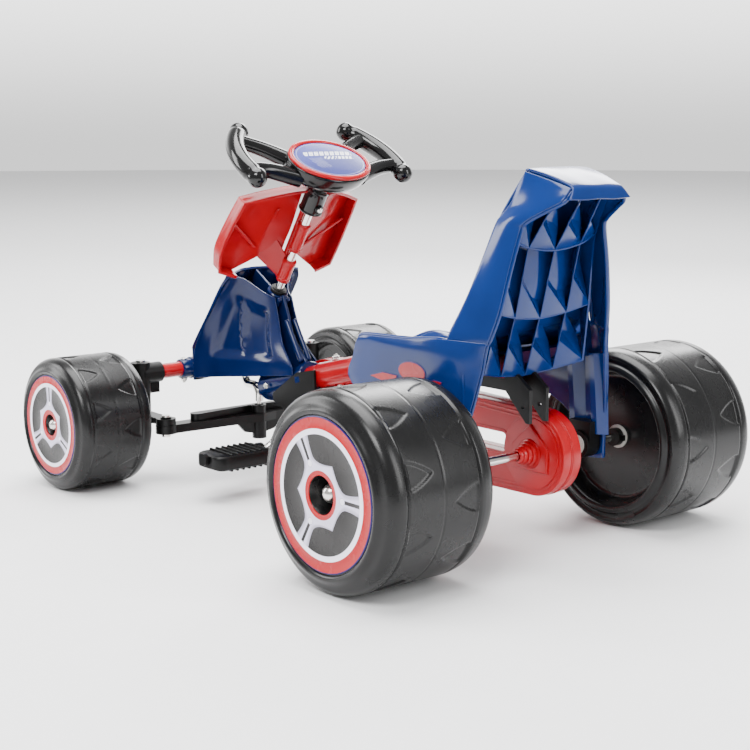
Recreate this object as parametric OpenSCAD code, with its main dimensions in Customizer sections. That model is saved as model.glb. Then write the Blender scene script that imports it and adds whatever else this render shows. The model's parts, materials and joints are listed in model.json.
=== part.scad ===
// Child's pedal go kart: steel beam frame, steered front wheels, chain-driven rear axle.
// Frame: +X forwards, +Y to the driver's left, +Z up, origin on the ground under the middle of the kart.

/* [Overall] */
// Distance between the front and the rear axle
wheelbase = 710; // [640:1:860]
// Radial clearance between a turning shaft and its bore
run_gap = 0.06; // [0.02:0.01:0.1]
// Gap between faces that turn past each other
face_gap = 0.4; // [0.3:0.1:0.8]

/* [Wheels] */
// Radius of a rear wheel
rear_r = 130; // [105:1:160]
// Width of a rear wheel
rear_w = 182; // [150:1:220]
// Distance from the middle plane to the inner side of a rear wheel
rear_in = 170; // [165:1:200]
// Radius of a front wheel
front_r = 106; // [88:1:128]
// Width of a front wheel
front_w = 132; // [110:1:160]
// Distance from the middle plane to the inner side of a front wheel
front_in = 215; // [212:1:250]
// Wall of the moulded wheels
wheel_wall = 4; // [3:0.5:6]
// Thickness of the printed wheel discs
disc_t = 1.6; // [1:0.1:2.5]

/* [Axles] */
// Diameter of the rear axle rod
axle_d = 12; // [10:0.5:15]
// Diameter of the front stub axles
stub_d = 12; // [10:0.5:15]
// Distance from the middle plane to the middle of each rear bearing block
block_y = 125; // [118:1:135]
// Width of each rear bearing block
block_w = 26; // [20:1:30]

/* [Beam] */
// Diameter of the rear beam tube
beam_d = 41; // [36:1:46]
// Wall of the beam tubes
beam_wall = 2; // [1.5:0.1:3]
// Radial play between the two beam tubes
beam_play = 0.3; // [0.1:0.1:0.6]
// Diameter of the front cross tube
cross_d = 25; // [20:1:30]
// Height of the front cross tube
cross_z = 171; // [160:1:180]
// Height of the beam under the seat
beam_z = 247; // [235:1:255]

/* [Steering] */
// Rake of the steering column from upright
column_rake = 32.9; // [28:0.1:36]
// Diameter of the steering column rod
column_d = 14; // [11:0.5:16]
// Distance from the middle plane to each kingpin
king_y = 176.5; // [160:0.5:185]
// Diameter of the kingpins
king_d = 10; // [8:0.5:12]
// Distance from a kingpin back to its tie bolt
arm_len = 76; // [62:1:92]
// Half width of the steering wheel badge
badge_a = 64; // [60:1:85]
// Diameter of the steering grips
grip_d = 29; // [24:1:34]

/* [Drive] */
// Throw of the crank
crank_throw = 70; // [58:1:80]
// Diameter of the crank rod
crank_d = 12; // [10:0.5:14]
// Angle of the left crank arm in front of straight down
crank_rest = 20; // [0:1:45]
// Length of a pedal
pedal_len = 106; // [88:1:112]
// Width of the whole chain guard
guard_w = 35; // [30:1:40]
// Wall of the chain guard
guard_wall = 2.5; // [2:0.5:4]

/* [Seat] */
// Wall of the moulded seat
seat_wall = 4; // [3:0.5:6]
// Half width of the seat rim at its front
rim_half = 150; // [142:1:160]
// Height of the seat's top
seat_top = 520; // [480:1:580]

/* [Hidden] */
$fn = 48;
HULL_FN = 32;
EPS = 0.01;
// How much fuller a bent rod is at its elbows
ELBOW = 1.1;

// Axle positions; the origin is under the middle of the overall length
front_x = (wheelbase + rear_r - front_r) / 2;
rear_x = front_x - wheelbase;
rear_z = rear_r;
front_z = front_r;

// Beam: level under the seat, then down and forwards into the cowl
beam_drop = 14.2;
seat_bolt_x = [rear_x + 70, rear_x + 140];
foot_x = front_x - 211;
foot_z = 170;
bend_x = foot_x - (beam_z - foot_z) / tan(beam_drop);
beam_end_x = rear_x + 18;
sleeve_x = front_x - 265;
inner_d = beam_d - 2 * beam_wall - 2 * beam_play;
front_end_x = front_x - 120;
function beam_height(x) = x < bend_x ? beam_z : foot_z + (foot_x - x) * tan(beam_drop);

// Steering column: its axis passes through this point of the middle plane
column_x = front_x - 150;
column_z = 314;
wheel_rise = 250;
pin_x = front_x - 88.5;
ball_z = 98;
ball_r = 7.4;
socket_r = 8.2;
boss_r = 12;
boss_top = 111;
boss_low = 54;
lower_rise = -205;
hub_x = column_x - wheel_rise * sin(column_rake);
hub_z = column_z + wheel_rise * cos(column_rake);
badge_b = badge_a * 0.71;
ring_w = 8.5;
grip_r = 125;
grip_u = 21;
grip_v = 10;
grip_w = -15;

// Front axle ends
king_top = 190;
king_low = 135;
arm_t = 10;
arm_top = 107.4;
plate_t = 14;
plate_top = arm_top - arm_t - face_gap;
bolt_x = front_x - arm_len;
bolt_y = king_y;
bolt_d = 8;

// Crank and chain
crank_x = front_x - 249;
crank_z = 134;
front_teeth = 28;
rear_teeth = 20;
pitch = 12.7;
front_pr = pitch / 2 / sin(180 / front_teeth);
rear_pr = pitch / 2 / sin(180 / rear_teeth);
guard_in = -21.2;
guard_mid = guard_in - guard_w / 2;
guard_rf = front_pr + 14.5;
guard_rr = rear_pr + 19.5;
roller_d = 7.7;
sprocket_t = 2.6;
crank_left = 30;
crank_right = guard_in - guard_w - 9;
arm_out = 86;
pedal_in = 92;

// Colours
RED = [0.86, 0.08, 0.17];
BLUE = [0.08, 0.22, 0.5];
NAVY = [0.07, 0.14, 0.33];
BLACK = [0.09, 0.09, 0.1];
STEEL = [0.74, 0.75, 0.77];
LILAC = [0.85, 0.83, 0.93];

// A rod between two points
module rod(a, b, d) {
    v = b - a;
    translate(a)
        rotate([0, acos(v[2] / norm(v)), atan2(v[1], v[0])])
            cylinder(d = d, h = norm(v));
}

// A rod that follows a list of points, with round elbows
module bent_rod(points, d) {
    for (i = [0 : len(points) - 2]) rod(points[i], points[i + 1], d);
    for (i = [1 : len(points) - 2]) translate(points[i]) sphere(d = d * ELBOW);
}

// A thin sheet through a grid of points; back is how far its other face stands off
module sheet(rows, back) {
    n = len(rows);
    m = len(rows[0]);
    normal = cross(rows[0][1] - rows[0][0], rows[1][0] - rows[0][0]);
    front = [for (r = rows, j = [0 : m - 1]) r[normal * back > 0 ? m - 1 - j : j]];
    rear = [for (p = front) p + back];
    count = n * m;
    cells = [for (i = [0 : n - 2], j = [0 : m - 2]) i * m + j];
    polyhedron(
        points = concat(front, rear),
        faces = concat(
            [for (k = cells) [k, k + m, k + m + 1]],
            [for (k = cells) [k, k + m + 1, k + 1]],
            [for (k = cells) [count + k, count + k + m + 1, count + k + m]],
            [for (k = cells) [count + k, count + k + 1, count + k + m + 1]],
            [for (j = [0 : m - 2]) [j, j + 1, count + j + 1]],
            [for (j = [0 : m - 2]) [j, count + j + 1, count + j]],
            [for (j = [0 : m - 2]) [(n - 1) * m + j, count + (n - 1) * m + j + 1, (n - 1) * m + j + 1]],
            [for (j = [0 : m - 2]) [(n - 1) * m + j, count + (n - 1) * m + j, count + (n - 1) * m + j + 1]],
            [for (i = [0 : n - 2]) [i * m, count + i * m, count + (i + 1) * m]],
            [for (i = [0 : n - 2]) [i * m, count + (i + 1) * m, (i + 1) * m]],
            [for (i = [0 : n - 2]) [i * m + m - 1, (i + 2) * m - 1, count + (i + 2) * m - 1]],
            [for (i = [0 : n - 2]) [i * m + m - 1, count + (i + 2) * m - 1, count + i * m + m - 1]]
        )
    );
}

// Places children in the column's own frame: local Z runs up the column, local X forwards
module on_column(rise = 0) {
    translate([column_x, 0, column_z])
        rotate([0, -column_rake, 0])
            translate([0, 0, rise]) children();
}

// Puts children drawn for the left on the left (1) or on the right (-1)
module side(s) {
    if (s > 0) children();
    else mirror([0, 1, 0]) children();
}

// Turns a shape drawn along +Z so that it runs out along +Y from the given point
module outward(x, y, z) {
    translate([x, y, z]) rotate([-90, 0, 0]) children();
}

// ---- Frame ----

// Places children on the sloping part of the beam, local Z square to it
module across_beam(x) {
    translate([x, 0, beam_height(x)]) rotate([0, beam_drop, 0]) children();
}

module beam_axis(d, from_x, to_x) {
    rod([from_x, 0, beam_height(from_x)], [to_x, 0, beam_height(to_x)], d);
}

module rear_beam() {
    bore = beam_d - 2 * beam_wall;
    color(RED) difference() {
        bent_rod([[beam_end_x, 0, beam_z], [bend_x, 0, beam_z],
                  [sleeve_x, 0, beam_height(sleeve_x)]], beam_d);
        bent_rod([[beam_end_x - 1, 0, beam_z], [bend_x, 0, beam_z],
                  [sleeve_x + 1, 0, beam_height(sleeve_x + 1)]], bore);
        across_beam(sleeve_x - 40) translate([0, 0, -beam_d]) cylinder(d = 6.4, h = 2 * beam_d);
        for (x = seat_bolt_x) translate([x, 0, beam_z]) cylinder(d = 6, h = beam_d);
    }
}

module front_beam() {
    start = sleeve_x - 120;
    color(RED) difference() {
        beam_axis(inner_d, start, front_end_x);
        beam_axis(inner_d - 2 * beam_wall, start - 1, front_end_x + 1);
        across_beam(sleeve_x - 40) translate([0, 0, -beam_d]) cylinder(d = 6.4, h = 2 * beam_d);
        outward(front_x - 150, -beam_d, beam_height(front_x - 150)) cylinder(d = 6.4, h = 2 * beam_d);
    }
}

module beam_bolts() {
    color(STEEL) {
        across_beam(sleeve_x - 40) translate([0, 0, -beam_d / 2]) {
            cylinder(d = 6, h = beam_d + 1);
            translate([0, 0, beam_d]) cylinder(d = 12, h = 3.5);
            translate([0, 0, -4]) cylinder(d = 11, h = 4, $fn = 6);
        }
        outward(front_x - 150, -29, beam_height(front_x - 150)) {
            cylinder(d = 6, h = 58);
            translate([0, 0, 58]) cylinder(d = 12, h = 3.5);
            translate([0, 0, -4]) cylinder(d = 11, h = 4, $fn = 6);
        }
    }
}

module cross_tube() {
    color(RED) outward(front_x, -158, cross_z) difference() {
        cylinder(d = cross_d, h = 316);
        translate([0, 0, -1]) cylinder(d = cross_d - 4, h = 318);
        for (h = [158 - 92, 158 + 92])
            translate([0, -20, h]) rotate([-90, 0, 0]) cylinder(d = 5.3, h = 40);
    }
}

// Nose plate of the cowl: two faces that meet in a forward crease
nose_rows = [
    [[front_x - 111, 66, 342], [front_x - 92, 34, 345], [front_x - 84, 0, 346],
     [front_x - 92, -34, 345], [front_x - 111, -66, 342]],
    [[front_x - 95, 78, 322], [front_x - 76, 36, 322], [front_x - 66, 0, 322],
     [front_x - 76, -36, 322], [front_x - 95, -78, 322]],
    [[front_x - 15, 82, 214], [front_x + 12, 38, 210], [front_x + 24, 0, 208],
     [front_x + 12, -38, 210], [front_x - 15, -82, 214]],
    [[front_x - 15, 82, 150], [front_x + 16, 38, 146], [front_x + 28, 0, 146],
     [front_x + 16, -38, 146], [front_x - 15, -82, 150]]
];

module cowl_spine() {
    // Upright web between the column housing and the beam sleeve
    rotate([90, 0, 0]) translate([0, 0, -2.5]) linear_extrude(5)
        polygon([
            [column_x - 12, column_z - 12], [column_x + 3, column_z - 12],
            [front_x - 50, 186], [front_x - 60, 174], [front_x - 122, 168], [front_x - 225, 190],
            [front_x - 222, 202], [front_x - 196, 232], [front_x - 176, 268]
        ]);
    // Web forwards from the housing to the nose plate
    rotate([90, 0, 0]) translate([0, 0, -2.5]) linear_extrude(5)
        polygon([
            [column_x + 4, column_z - 8], [front_x - 86, 342], [front_x - 68, 321],
            [front_x + 21, 209], [front_x + 21, 184], [front_x - 55, 184]
        ]);
}

module front_cowl() {
    color(NAVY) difference() {
        union() {
            sheet(nose_rows, [-4, 0, -2]);
            cowl_spine();
            on_column(-165) cylinder(d = 30, h = 159);
            // Sleeve over the front beam tube
            beam_axis(inner_d + 12, front_x - 238, front_end_x + 2);
            // Sleeve over the cross tube
            outward(front_x, -100, cross_z) cylinder(d = cross_d + 10, h = 200);
            // Flat gussets that tie the nose plate to the cross sleeve
            for (y = [-60, 60]) translate([front_x - 40, y - 2, 0])
                rotate([90, 0, 0]) translate([0, 0, -4]) linear_extrude(4)
                    polygon([[-30, 152], [36, 158], [34, 190], [-4, 206], [-30, 190]]);
        }
        on_column(-190) cylinder(d = column_d + 6, h = 200);
        beam_axis(inner_d + 0.3, front_x - 260, front_end_x + 1);
        outward(front_x, -101, cross_z) cylinder(d = cross_d + 0.3, h = 202);
        outward(front_x - 150, -40, beam_height(front_x - 150)) cylinder(d = 6.4, h = 80);
        for (y = [-92, 92]) translate([front_x, y, cross_z - 30]) cylinder(d = 5.3, h = 60);
        // Flat that clears the chain guard
        translate([front_x - 245, guard_in + 0.6 - 40, 100]) cube([75, 40, 160]);
    }
}

module cowl_screws() {
    color(STEEL) for (y = [-92, 92]) translate([front_x, y, cross_z - 22]) {
        cylinder(d = 5, h = 42);
        translate([0, 0, 40.6]) cylinder(d = 10, h = 3);
        translate([0, 0, -3]) cylinder(d = 10, h = 5, $fn = 6);
    }
}

module column_collar() {
    color(BLACK) on_column(-12) difference() {
        union() {
            cylinder(d = column_d + 5.8, h = 12);
            translate([0, 0, 6]) cylinder(d = 27, h = 5);
        }
        translate([0, 0, -1]) cylinder(d = column_d + 2 * run_gap, h = 20);
    }
}

module column_foot_bush() {
    color(BLACK) on_column(-165) difference() {
        union() {
            cylinder(d = column_d + 5.8, h = 20);
            translate([0, 0, -4]) cylinder(d = 27, h = 4);
        }
        translate([0, 0, -6]) cylinder(d = column_d + 2 * run_gap, h = 40);
    }
}

// End bracket: a socket on the cross tube with an upright kingpin housing
module end_bracket() {
    color(BLACK) difference() {
        union() {
            translate([front_x, king_y, king_low]) cylinder(d = 32, h = king_top - king_low);
            outward(front_x, 140, cross_z) cylinder(d = cross_d + 9, h = king_y - 140);
            translate([front_x - 3, 142, king_low + 2]) cube([6, king_y - 142, cross_z - king_low]);
        }
        translate([front_x, king_y, king_low - 1]) cylinder(d = king_d, h = 80);
        outward(front_x, 130, cross_z) cylinder(d = cross_d + 0.1, h = 158 - 130 + 0.5);
    }
}

module left_end_bracket() { side(1) end_bracket(); }
module right_end_bracket() { side(-1) end_bracket(); }

module kingpins() {
    color(STEEL) for (s = [1, -1]) side(s) translate([front_x, king_y, 0]) {
        translate([0, 0, 84]) cylinder(d = king_d, h = king_top + 2 - 84);
        translate([0, 0, king_top]) cylinder(d = 17, h = 4);
        translate([0, 0, 82]) cylinder(d = 17, h = 6 - face_gap, $fn = 6);
    }
}

module rear_bracket() {
    color(BLACK) difference() {
        for (y = [-19, 13]) translate([0, y + 6, 0]) rotate([90, 0, 0]) linear_extrude(6) difference() {
            polygon([
                [rear_x + 70, beam_z - 22], [rear_x + 18, beam_z - 22],
                [rear_x - 26, beam_z - 66], [rear_x - 32, beam_z - 66],
                [rear_x - 32, beam_z - 20], [rear_x + 8, beam_z + 10], [rear_x + 16, beam_z - 10],
                [rear_x + 70, beam_z - 10]
            ]);
            translate([rear_x - 20, beam_z - 44]) circle(d = 6.4);
        }
        // Seat for the beam
        rod([beam_end_x - 0.3, 0, beam_z], [rear_x + 90, 0, beam_z], beam_d);
    }
    color(BLACK) translate([rear_x + 19, -13, beam_z - 28]) cube([50, 26, 6]);
}

module crank_bracket() {
    color(BLACK) difference() {
        union() {
            for (y = [-14, 22]) translate([0, y + 4, 0]) rotate([90, 0, 0]) linear_extrude(4)
                polygon([
                    [crank_x - 26, crank_z + 62], [crank_x - 30, crank_z + 4],
                    [crank_x - 20, crank_z - 20], [crank_x + 6, crank_z - 24],
                    [crank_x + 52, crank_z - 14], [crank_x + 84, crank_z - 2],
                    [crank_x + 84, crank_z + 10], [crank_x + 20, crank_z + 52]
                ]);
            outward(crank_x, -14, crank_z) cylinder(d = 26, h = 40);
            translate([crank_x + 40, -13, crank_z - 10]) cube([44, 38, 4]);
        }
        beam_axis(beam_d + 0.3, sleeve_x - 60, sleeve_x + EPS);
        beam_axis(inner_d + 0.3, sleeve_x - 1, front_end_x);
        beam_axis(inner_d + 13, front_x - 239, front_end_x);
        outward(crank_x, -20, crank_z) cylinder(d = 20, h = 60);
    }
}

module crank_bush() {
    color(BLACK) outward(crank_x, -14, crank_z) difference() {
        union() {
            cylinder(d = 19.96, h = 40);
            translate([0, 0, 40]) cylinder(d = 25, h = 2.5);
        }
        translate([0, 0, -1]) cylinder(d = crank_d + 2 * run_gap, h = 50);
    }
}

// ---- Steering ----

module steering_column() {
    foot = [column_x + (-lower_rise) * sin(column_rake), 0, column_z + lower_rise * cos(column_rake)];
    top = [column_x - (wheel_rise - 18) * sin(column_rake), 0,
           column_z + (wheel_rise - 18) * cos(column_rake)];
    color(STEEL) {
        bent_rod([top, foot, [pin_x + 9, 0, foot[2] + 1], [pin_x, 0, foot[2] - 9],
                  [pin_x, 0, boss_top + 6]], column_d);
        rod([pin_x, 0, boss_top + 7], [pin_x, 0, ball_z], 7.6);
        translate([pin_x, 0, ball_z]) sphere(r = ball_r);
    }
}

module oval(a, b, h) {
    scale([b / a, 1, 1]) cylinder(r = a, h = h, $fn = 64);
}

module steering_wheel() {
    top_a = badge_a + ring_w;
    top_b = badge_b + ring_w;
    color(BLACK) on_column(wheel_rise) difference() {
        union() {
            hull() {
                translate([0, 0, -24]) scale([top_b / top_a, 1, 1]) cylinder(r = top_a, h = 23, $fn = HULL_FN);
                translate([-2, 0, -39]) scale([0.8, 1, 1]) cylinder(r = 42, h = 4, $fn = HULL_FN);
                translate([0, 0, -52]) cylinder(r = 19, h = 4, $fn = HULL_FN);
            }
            translate([0, 0, -94]) cylinder(d = 36, h = 60);
            for (s = [1, -1]) side(s) {
                translate([grip_v, grip_u, grip_w]) {
                    rotate([0, 0, 43]) rotate_extrude(angle = 60) translate([grip_r, 0]) circle(d = grip_d);
                    for (a = [43, 103]) rotate([0, 0, a]) translate([grip_r, 0, 0]) sphere(d = grip_d + 1);
                    rod([grip_r * cos(56), grip_r * sin(56), 0], [22, 31, -6], 24);
                    rod([grip_r * cos(92), grip_r * sin(92), 0], [-12, 53, -6], 24);
                }
            }
        }
        translate([0, 0, -95]) cylinder(d = column_d, h = 78);
        translate([-6, 0, -80]) rotate([0, -90, 0]) cylinder(d = 5.2, h = 30);
    }
}

module wheel_trim_ring() {
    color(RED) on_column(wheel_rise - 1) difference() {
        oval(badge_a + ring_w - 1, badge_b + ring_w - 1, 4);
        translate([0, 0, -1]) oval(badge_a, badge_b, 6);
    }
}

module wheel_badge() {
    color([0.36, 0.36, 0.68]) on_column(wheel_rise - 1) oval(badge_a - 0.1, badge_b - 0.1, 3);
}

module hub_screw() {
    color(STEEL) on_column(wheel_rise - 80) rotate([0, -90, 0]) {
        translate([0, 0, 8]) cylinder(d = 5, h = 12);
        translate([0, 0, 18.2]) cylinder(d = 9, h = 3);
    }
}

// One wing of the fairing, swept forwards from the column
module fairing_wing(s) {
    side(s) {
        rows = [
            [[column_x - 88, 20, 485], [column_x - 78, 44, 482], [column_x - 48, 114, 466]],
            [[column_x - 44, 9, 414], [column_x - 22, 44, 418], [column_x - 6, 119, 408]],
            [[column_x - 14, 9, 366], [column_x + 6, 40, 367], [column_x + 22, 118, 363]]
        ];
        sheet(rows, [3, 0, 2]);
        // Rim flange along the outer edge and the top
        edge = [rows[0][0], rows[0][1], rows[0][2], rows[1][2], rows[2][2], rows[2][1], rows[2][0]];
        root = [1.5, 0, 1];
        back = [-18, 0, -11];
        for (i = [0 : 5]) {
            lift = i < 2 ? [0, 0, -3] : i < 4 ? [0, -3, 0] : [0, 0, 3];
            from = [edge[i] + 0.15 * lift, edge[i + 1] + 0.15 * lift];
            sheet([[from[0] + root, from[1] + root], [from[0] + back, from[1] + back]], lift);
        }
    }
}

module steering_fairing() {
    color(RED) difference() {
        union() {
            fairing_wing(1);
            fairing_wing(-1);
            on_column(18) cylinder(d = 21, h = 40);
            on_column(79) cylinder(d = 21, h = 48);
            on_column(18) translate([8, -6, 0]) cube([9, 12, 134]);
        }
        on_column(-40) cylinder(d = column_d, h = 260);
        for (h = [30, 112]) on_column(h) translate([10, 0, 0]) rotate([0, 90, 0]) cylinder(d = 4, h = 20);
    }
}

module fairing_clips() {
    color(STEEL) for (h = [30, 112]) on_column(h)
        translate([10.7, 0, 0]) rotate([0, 90, 0]) {
            cylinder(d = 4, h = 12);
            translate([0, 0, 10]) cylinder(d = 8, h = 2.5);
        }
}

module knuckle() {
    color(BLACK) difference() {
        union() {
            translate([front_x, king_y, 88]) cylinder(d = 32, h = king_low - 88 - face_gap);
            outward(front_x, king_y, front_z) cylinder(d = 27, h = front_in - 6 - king_y);
            translate([0, 0, arm_top - arm_t]) linear_extrude(arm_t)
                polygon([[front_x + 6, king_y - 14], [bolt_x, bolt_y - 12],
                         [bolt_x, bolt_y + 12], [front_x + 6, king_y + 14]]);
            translate([bolt_x, bolt_y, arm_top - arm_t]) cylinder(r = 16, h = arm_t);
            translate([bolt_x, bolt_y, arm_top]) cylinder(r = 9, h = 2);
        }
        translate([front_x, king_y, 80]) cylinder(d = king_d + 2 * run_gap, h = 70);
        outward(front_x, king_y + 9, front_z) cylinder(d = stub_d, h = 60);
        translate([bolt_x, bolt_y, 60]) cylinder(d = bolt_d, h = 60);
    }
}

module left_knuckle() { side(1) knuckle(); }
module right_knuckle() { side(-1) knuckle(); }

// Where the hub recess of a wheel starts, measured from the wheel's inner side
function hub_depth(w) = w * 0.82;

module stub_axle() {
    end = front_in + hub_depth(front_w) + 16;
    color(STEEL) outward(front_x, king_y + 9, front_z) cylinder(d = stub_d, h = end - king_y - 9);
}

module left_stub_axle() { side(1) stub_axle(); }
module right_stub_axle() { side(-1) stub_axle(); }

module arm_bolt() {
    color(STEEL) translate([bolt_x, bolt_y, 0]) {
        translate([0, 0, plate_top - plate_t - 6]) cylinder(d = bolt_d, h = arm_top + 3 - plate_top + plate_t + 6);
        translate([0, 0, arm_top + 2]) cylinder(d = 13, h = 3);
        translate([0, 0, plate_top - plate_t - 6]) cylinder(d = 14, h = 6 - face_gap, $fn = 6);
    }
}

module left_arm_bolt() { side(1) arm_bolt(); }
module right_arm_bolt() { side(-1) arm_bolt(); }

module tie_plate() {
    low = plate_top - plate_t;
    color(BLACK) difference() {
        union() {
            for (s = [1, -1]) side(s) {
                translate([0, 0, low]) linear_extrude(plate_t)
                    polygon([[bolt_x + 13, bolt_y], [bolt_x + 13, 0], [pin_x - 14, 0],
                             [pin_x - 8, 30], [bolt_x - 12, bolt_y]]);
                translate([bolt_x, bolt_y, low]) cylinder(r = 17, h = plate_t);
                // Raised box beam on the middle of the plate
                translate([0, 0, plate_top - 1]) linear_extrude(13)
                    polygon([[bolt_x + 10, 118], [bolt_x + 10, 10], [pin_x + 12, 10], [pin_x + 2, 118]]);
                translate([(bolt_x + 10 + pin_x + 2) / 2, 118, plate_top - 1])
                    cylinder(d = bolt_x + 8 - pin_x, h = 13);
                // Gusset under the plate, out from the boss
                translate([pin_x - 3, 0, 0]) rotate([90, 0, 90]) linear_extrude(6)
                    polygon([[8, low + 1], [46, low + 1], [30, low - 16], [10, low - 20]]);
            }
            translate([pin_x, 0, boss_low]) cylinder(r = boss_r, h = boss_top - boss_low);
            translate([pin_x, -10, plate_top - 1]) cube([bolt_x + 10 - pin_x, 20, 13]);
        }
        translate([pin_x, 0, boss_low + 14]) cylinder(r = socket_r, h = 80);
        for (s = [1, -1]) side(s)
            translate([bolt_x, bolt_y, low - 1])
                cylinder(d = bolt_d + 2 * run_gap, h = 30);
    }
}

// ---- Wheels ----

// Half section of a wheel: radius across, distance from the inner side up
module wheel_section(r, w, face_r, disc_r, hub_r, bush_r) {
    t = wheel_wall;
    hub = hub_depth(w);
    dish = w * 0.17;
    seat = w - 4;
    polygon(concat(
        [[bush_r, dish], [r * 0.63, dish], [r * 0.74, dish * 0.25], [r * 0.83, 0],
         [r * 0.92, dish * 0.12], [r * 0.98, dish * 0.55], [r, dish],
         [r, w * 0.84], [r * 0.985, w * 0.9], [r * 0.93, w * 0.97], [face_r, w],
         [disc_r + 3, w], [disc_r + 1, seat], [hub_r, seat], [hub_r, hub], [bush_r, hub]],
        [[bush_r, hub - t], [hub_r + t, hub - t], [hub_r + t, seat - t], [disc_r + 2, seat - t],
         [face_r - 1, w - t - 2], [r * 0.985 - t, w * 0.88 - t], [r - t, w * 0.82],
         [r - t, dish + t], [r * 0.97 - t, dish * 0.6 + t], [r * 0.83, t + 1],
         [r * 0.76, dish * 0.35 + t], [r * 0.65, dish + t], [bush_r, dish + t]]
    ));
}

module wheel(r, w, face_r, disc_r, hub_r, bush_r) {
    color(BLACK) rotate_extrude($fn = 72) wheel_section(r, w, face_r, disc_r, hub_r, bush_r);
}

module wheel_disc(w, disc_r, hub_r) {
    color(LILAC) translate([0, 0, w - 4]) difference() {
        cylinder(r = disc_r, h = disc_t, $fn = 72);
        translate([0, 0, -1]) cylinder(r = hub_r, h = disc_t + 2);
    }
}

// Two flanged bushes, one in each side wall of a wheel
module wheel_bushes(w, bush_r, shaft_d, gap) {
    hub = hub_depth(w);
    dish = w * 0.17;
    color([0.75, 0.75, 0.72]) difference() {
        union() {
            translate([0, 0, dish - 1]) cylinder(r = bush_r, h = 14);
            translate([0, 0, dish - 3]) cylinder(r = bush_r + 3, h = 3);
            translate([0, 0, hub - 13]) cylinder(r = bush_r, h = 14);
            translate([0, 0, hub]) cylinder(r = bush_r + 3, h = 2);
        }
        translate([0, 0, -1]) cylinder(d = shaft_d + 2 * gap, h = w);
    }
}

front_hub = 17;
front_bush = 11.5;
rear_hub = 24.5;
rear_bush = 14;

module place_front(s) { side(s) outward(front_x, front_in, front_z) children(); }
module place_rear(s) { side(s) outward(rear_x, rear_in, rear_z) children(); }
module front_wheel_shell() { wheel(front_r, front_w, front_r - 19, front_r - 26, front_hub, front_bush); }
module rear_wheel_shell() { wheel(rear_r, rear_w, rear_r - 23, rear_r - 31, rear_hub, rear_bush); }

module front_left_wheel() { place_front(1) front_wheel_shell(); }
module front_right_wheel() { place_front(-1) front_wheel_shell(); }
module rear_left_wheel() { place_rear(1) rear_wheel_shell(); }
module rear_right_wheel() { place_rear(-1) rear_wheel_shell(); }
module front_left_disc() { place_front(1) wheel_disc(front_w, front_r - 26, front_hub); }
module front_right_disc() { place_front(-1) wheel_disc(front_w, front_r - 26, front_hub); }
module rear_left_disc() { place_rear(1) wheel_disc(rear_w, rear_r - 31, rear_hub); }
module rear_right_disc() { place_rear(-1) wheel_disc(rear_w, rear_r - 31, rear_hub); }
module front_left_bushes() { place_front(1) wheel_bushes(front_w, front_bush, stub_d, run_gap); }
module front_right_bushes() { place_front(-1) wheel_bushes(front_w, front_bush, stub_d, run_gap); }
module rear_left_bushes() { place_rear(1) wheel_bushes(rear_w, rear_bush, axle_d, run_gap); }
module rear_right_bushes() { place_rear(-1) wheel_bushes(rear_w, rear_bush, axle_d, 0.01); }

// Washer and lock nut in the hub recess
module hub_nut(w, shaft_d) {
    color(STEEL) translate([0, 0, hub_depth(w) + 2 + face_gap]) difference() {
        union() {
            cylinder(d = shaft_d + 10, h = 1.6);
            translate([0, 0, 1.6]) cylinder(d = (shaft_d + 7) / cos(30), h = 7, $fn = 6);
            translate([0, 0, 8.6]) cylinder(d = shaft_d + 4, h = 3);
        }
        translate([0, 0, -1]) cylinder(d = shaft_d, h = 20);
    }
}

module front_left_nut() { place_front(1) hub_nut(front_w, stub_d); }
module front_right_nut() { place_front(-1) hub_nut(front_w, stub_d); }

// ---- Drive ----

module at_crank() { translate([crank_x, 0, crank_z]) children(); }

// Unit vector of the left crank arm in the middle plane
arm_dir = [sin(crank_rest), -cos(crank_rest)];
function arm_point(s, throw, y) = [crank_x + s * throw * arm_dir[0], y, crank_z + s * throw * arm_dir[1]];

module crank_rod() {
    color(STEEL) bent_rod([
        arm_point(1, crank_throw, pedal_in + pedal_len + 3), arm_point(1, crank_throw, arm_out),
        arm_point(1, crank_throw * 0.86, arm_out - 12),
        arm_point(1, crank_throw * 0.2, crank_left + 20), arm_point(1, 0, crank_left + 10),
        arm_point(1, 0, crank_right),
        arm_point(-1, crank_throw * 0.25, crank_right - 6),
        arm_point(-1, crank_throw * 0.86, -arm_out + 4),
        arm_point(-1, crank_throw, -arm_out), arm_point(-1, crank_throw, -pedal_in - pedal_len - 3)
    ], crank_d);
}

// Chain wheel with round-bottomed tooth gaps
module sprocket(teeth, pr, bore, hub_d) {
    difference() {
        union() {
            linear_extrude(sprocket_t, center = true) difference() {
                circle(r = pr + 3.2);
                for (i = [0 : teeth - 1]) rotate(top_angle + i * 360 / teeth)
                    translate([pr, 0]) circle(d = roller_d + 0.5, $fn = 20);
            }
            translate([0, 0, -6]) cylinder(d = hub_d, h = 12);
        }
        translate([0, 0, -10]) cylinder(d = bore, h = 20);
        for (a = [0 : 72 : 288]) rotate(a) translate([pr * 0.62, 0, -5]) cylinder(d = pr * 0.32, h = 10);
    }
}

// Angle of the chain's upper run and its tangent points
run_len = crank_x - rear_x;
run_rise = crank_z - rear_z;
run_dist = sqrt(run_len * run_len + run_rise * run_rise);
run_slope = atan2(run_rise, run_len);
run_open = asin((front_pr - rear_pr) / run_dist);
top_angle = 90 + run_slope + run_open;
straight = run_dist * cos(run_open);

// Middle of the roller n pitches back from the front wheel, on the upper (1) or lower (-1) run
function on_run(s, n) =
    [crank_x, crank_z] + front_pr * polar(run_slope + s * (90 + run_open))
        - n * pitch * polar(run_slope + s * run_open);
function polar(a) = [cos(a), sin(a)];

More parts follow.
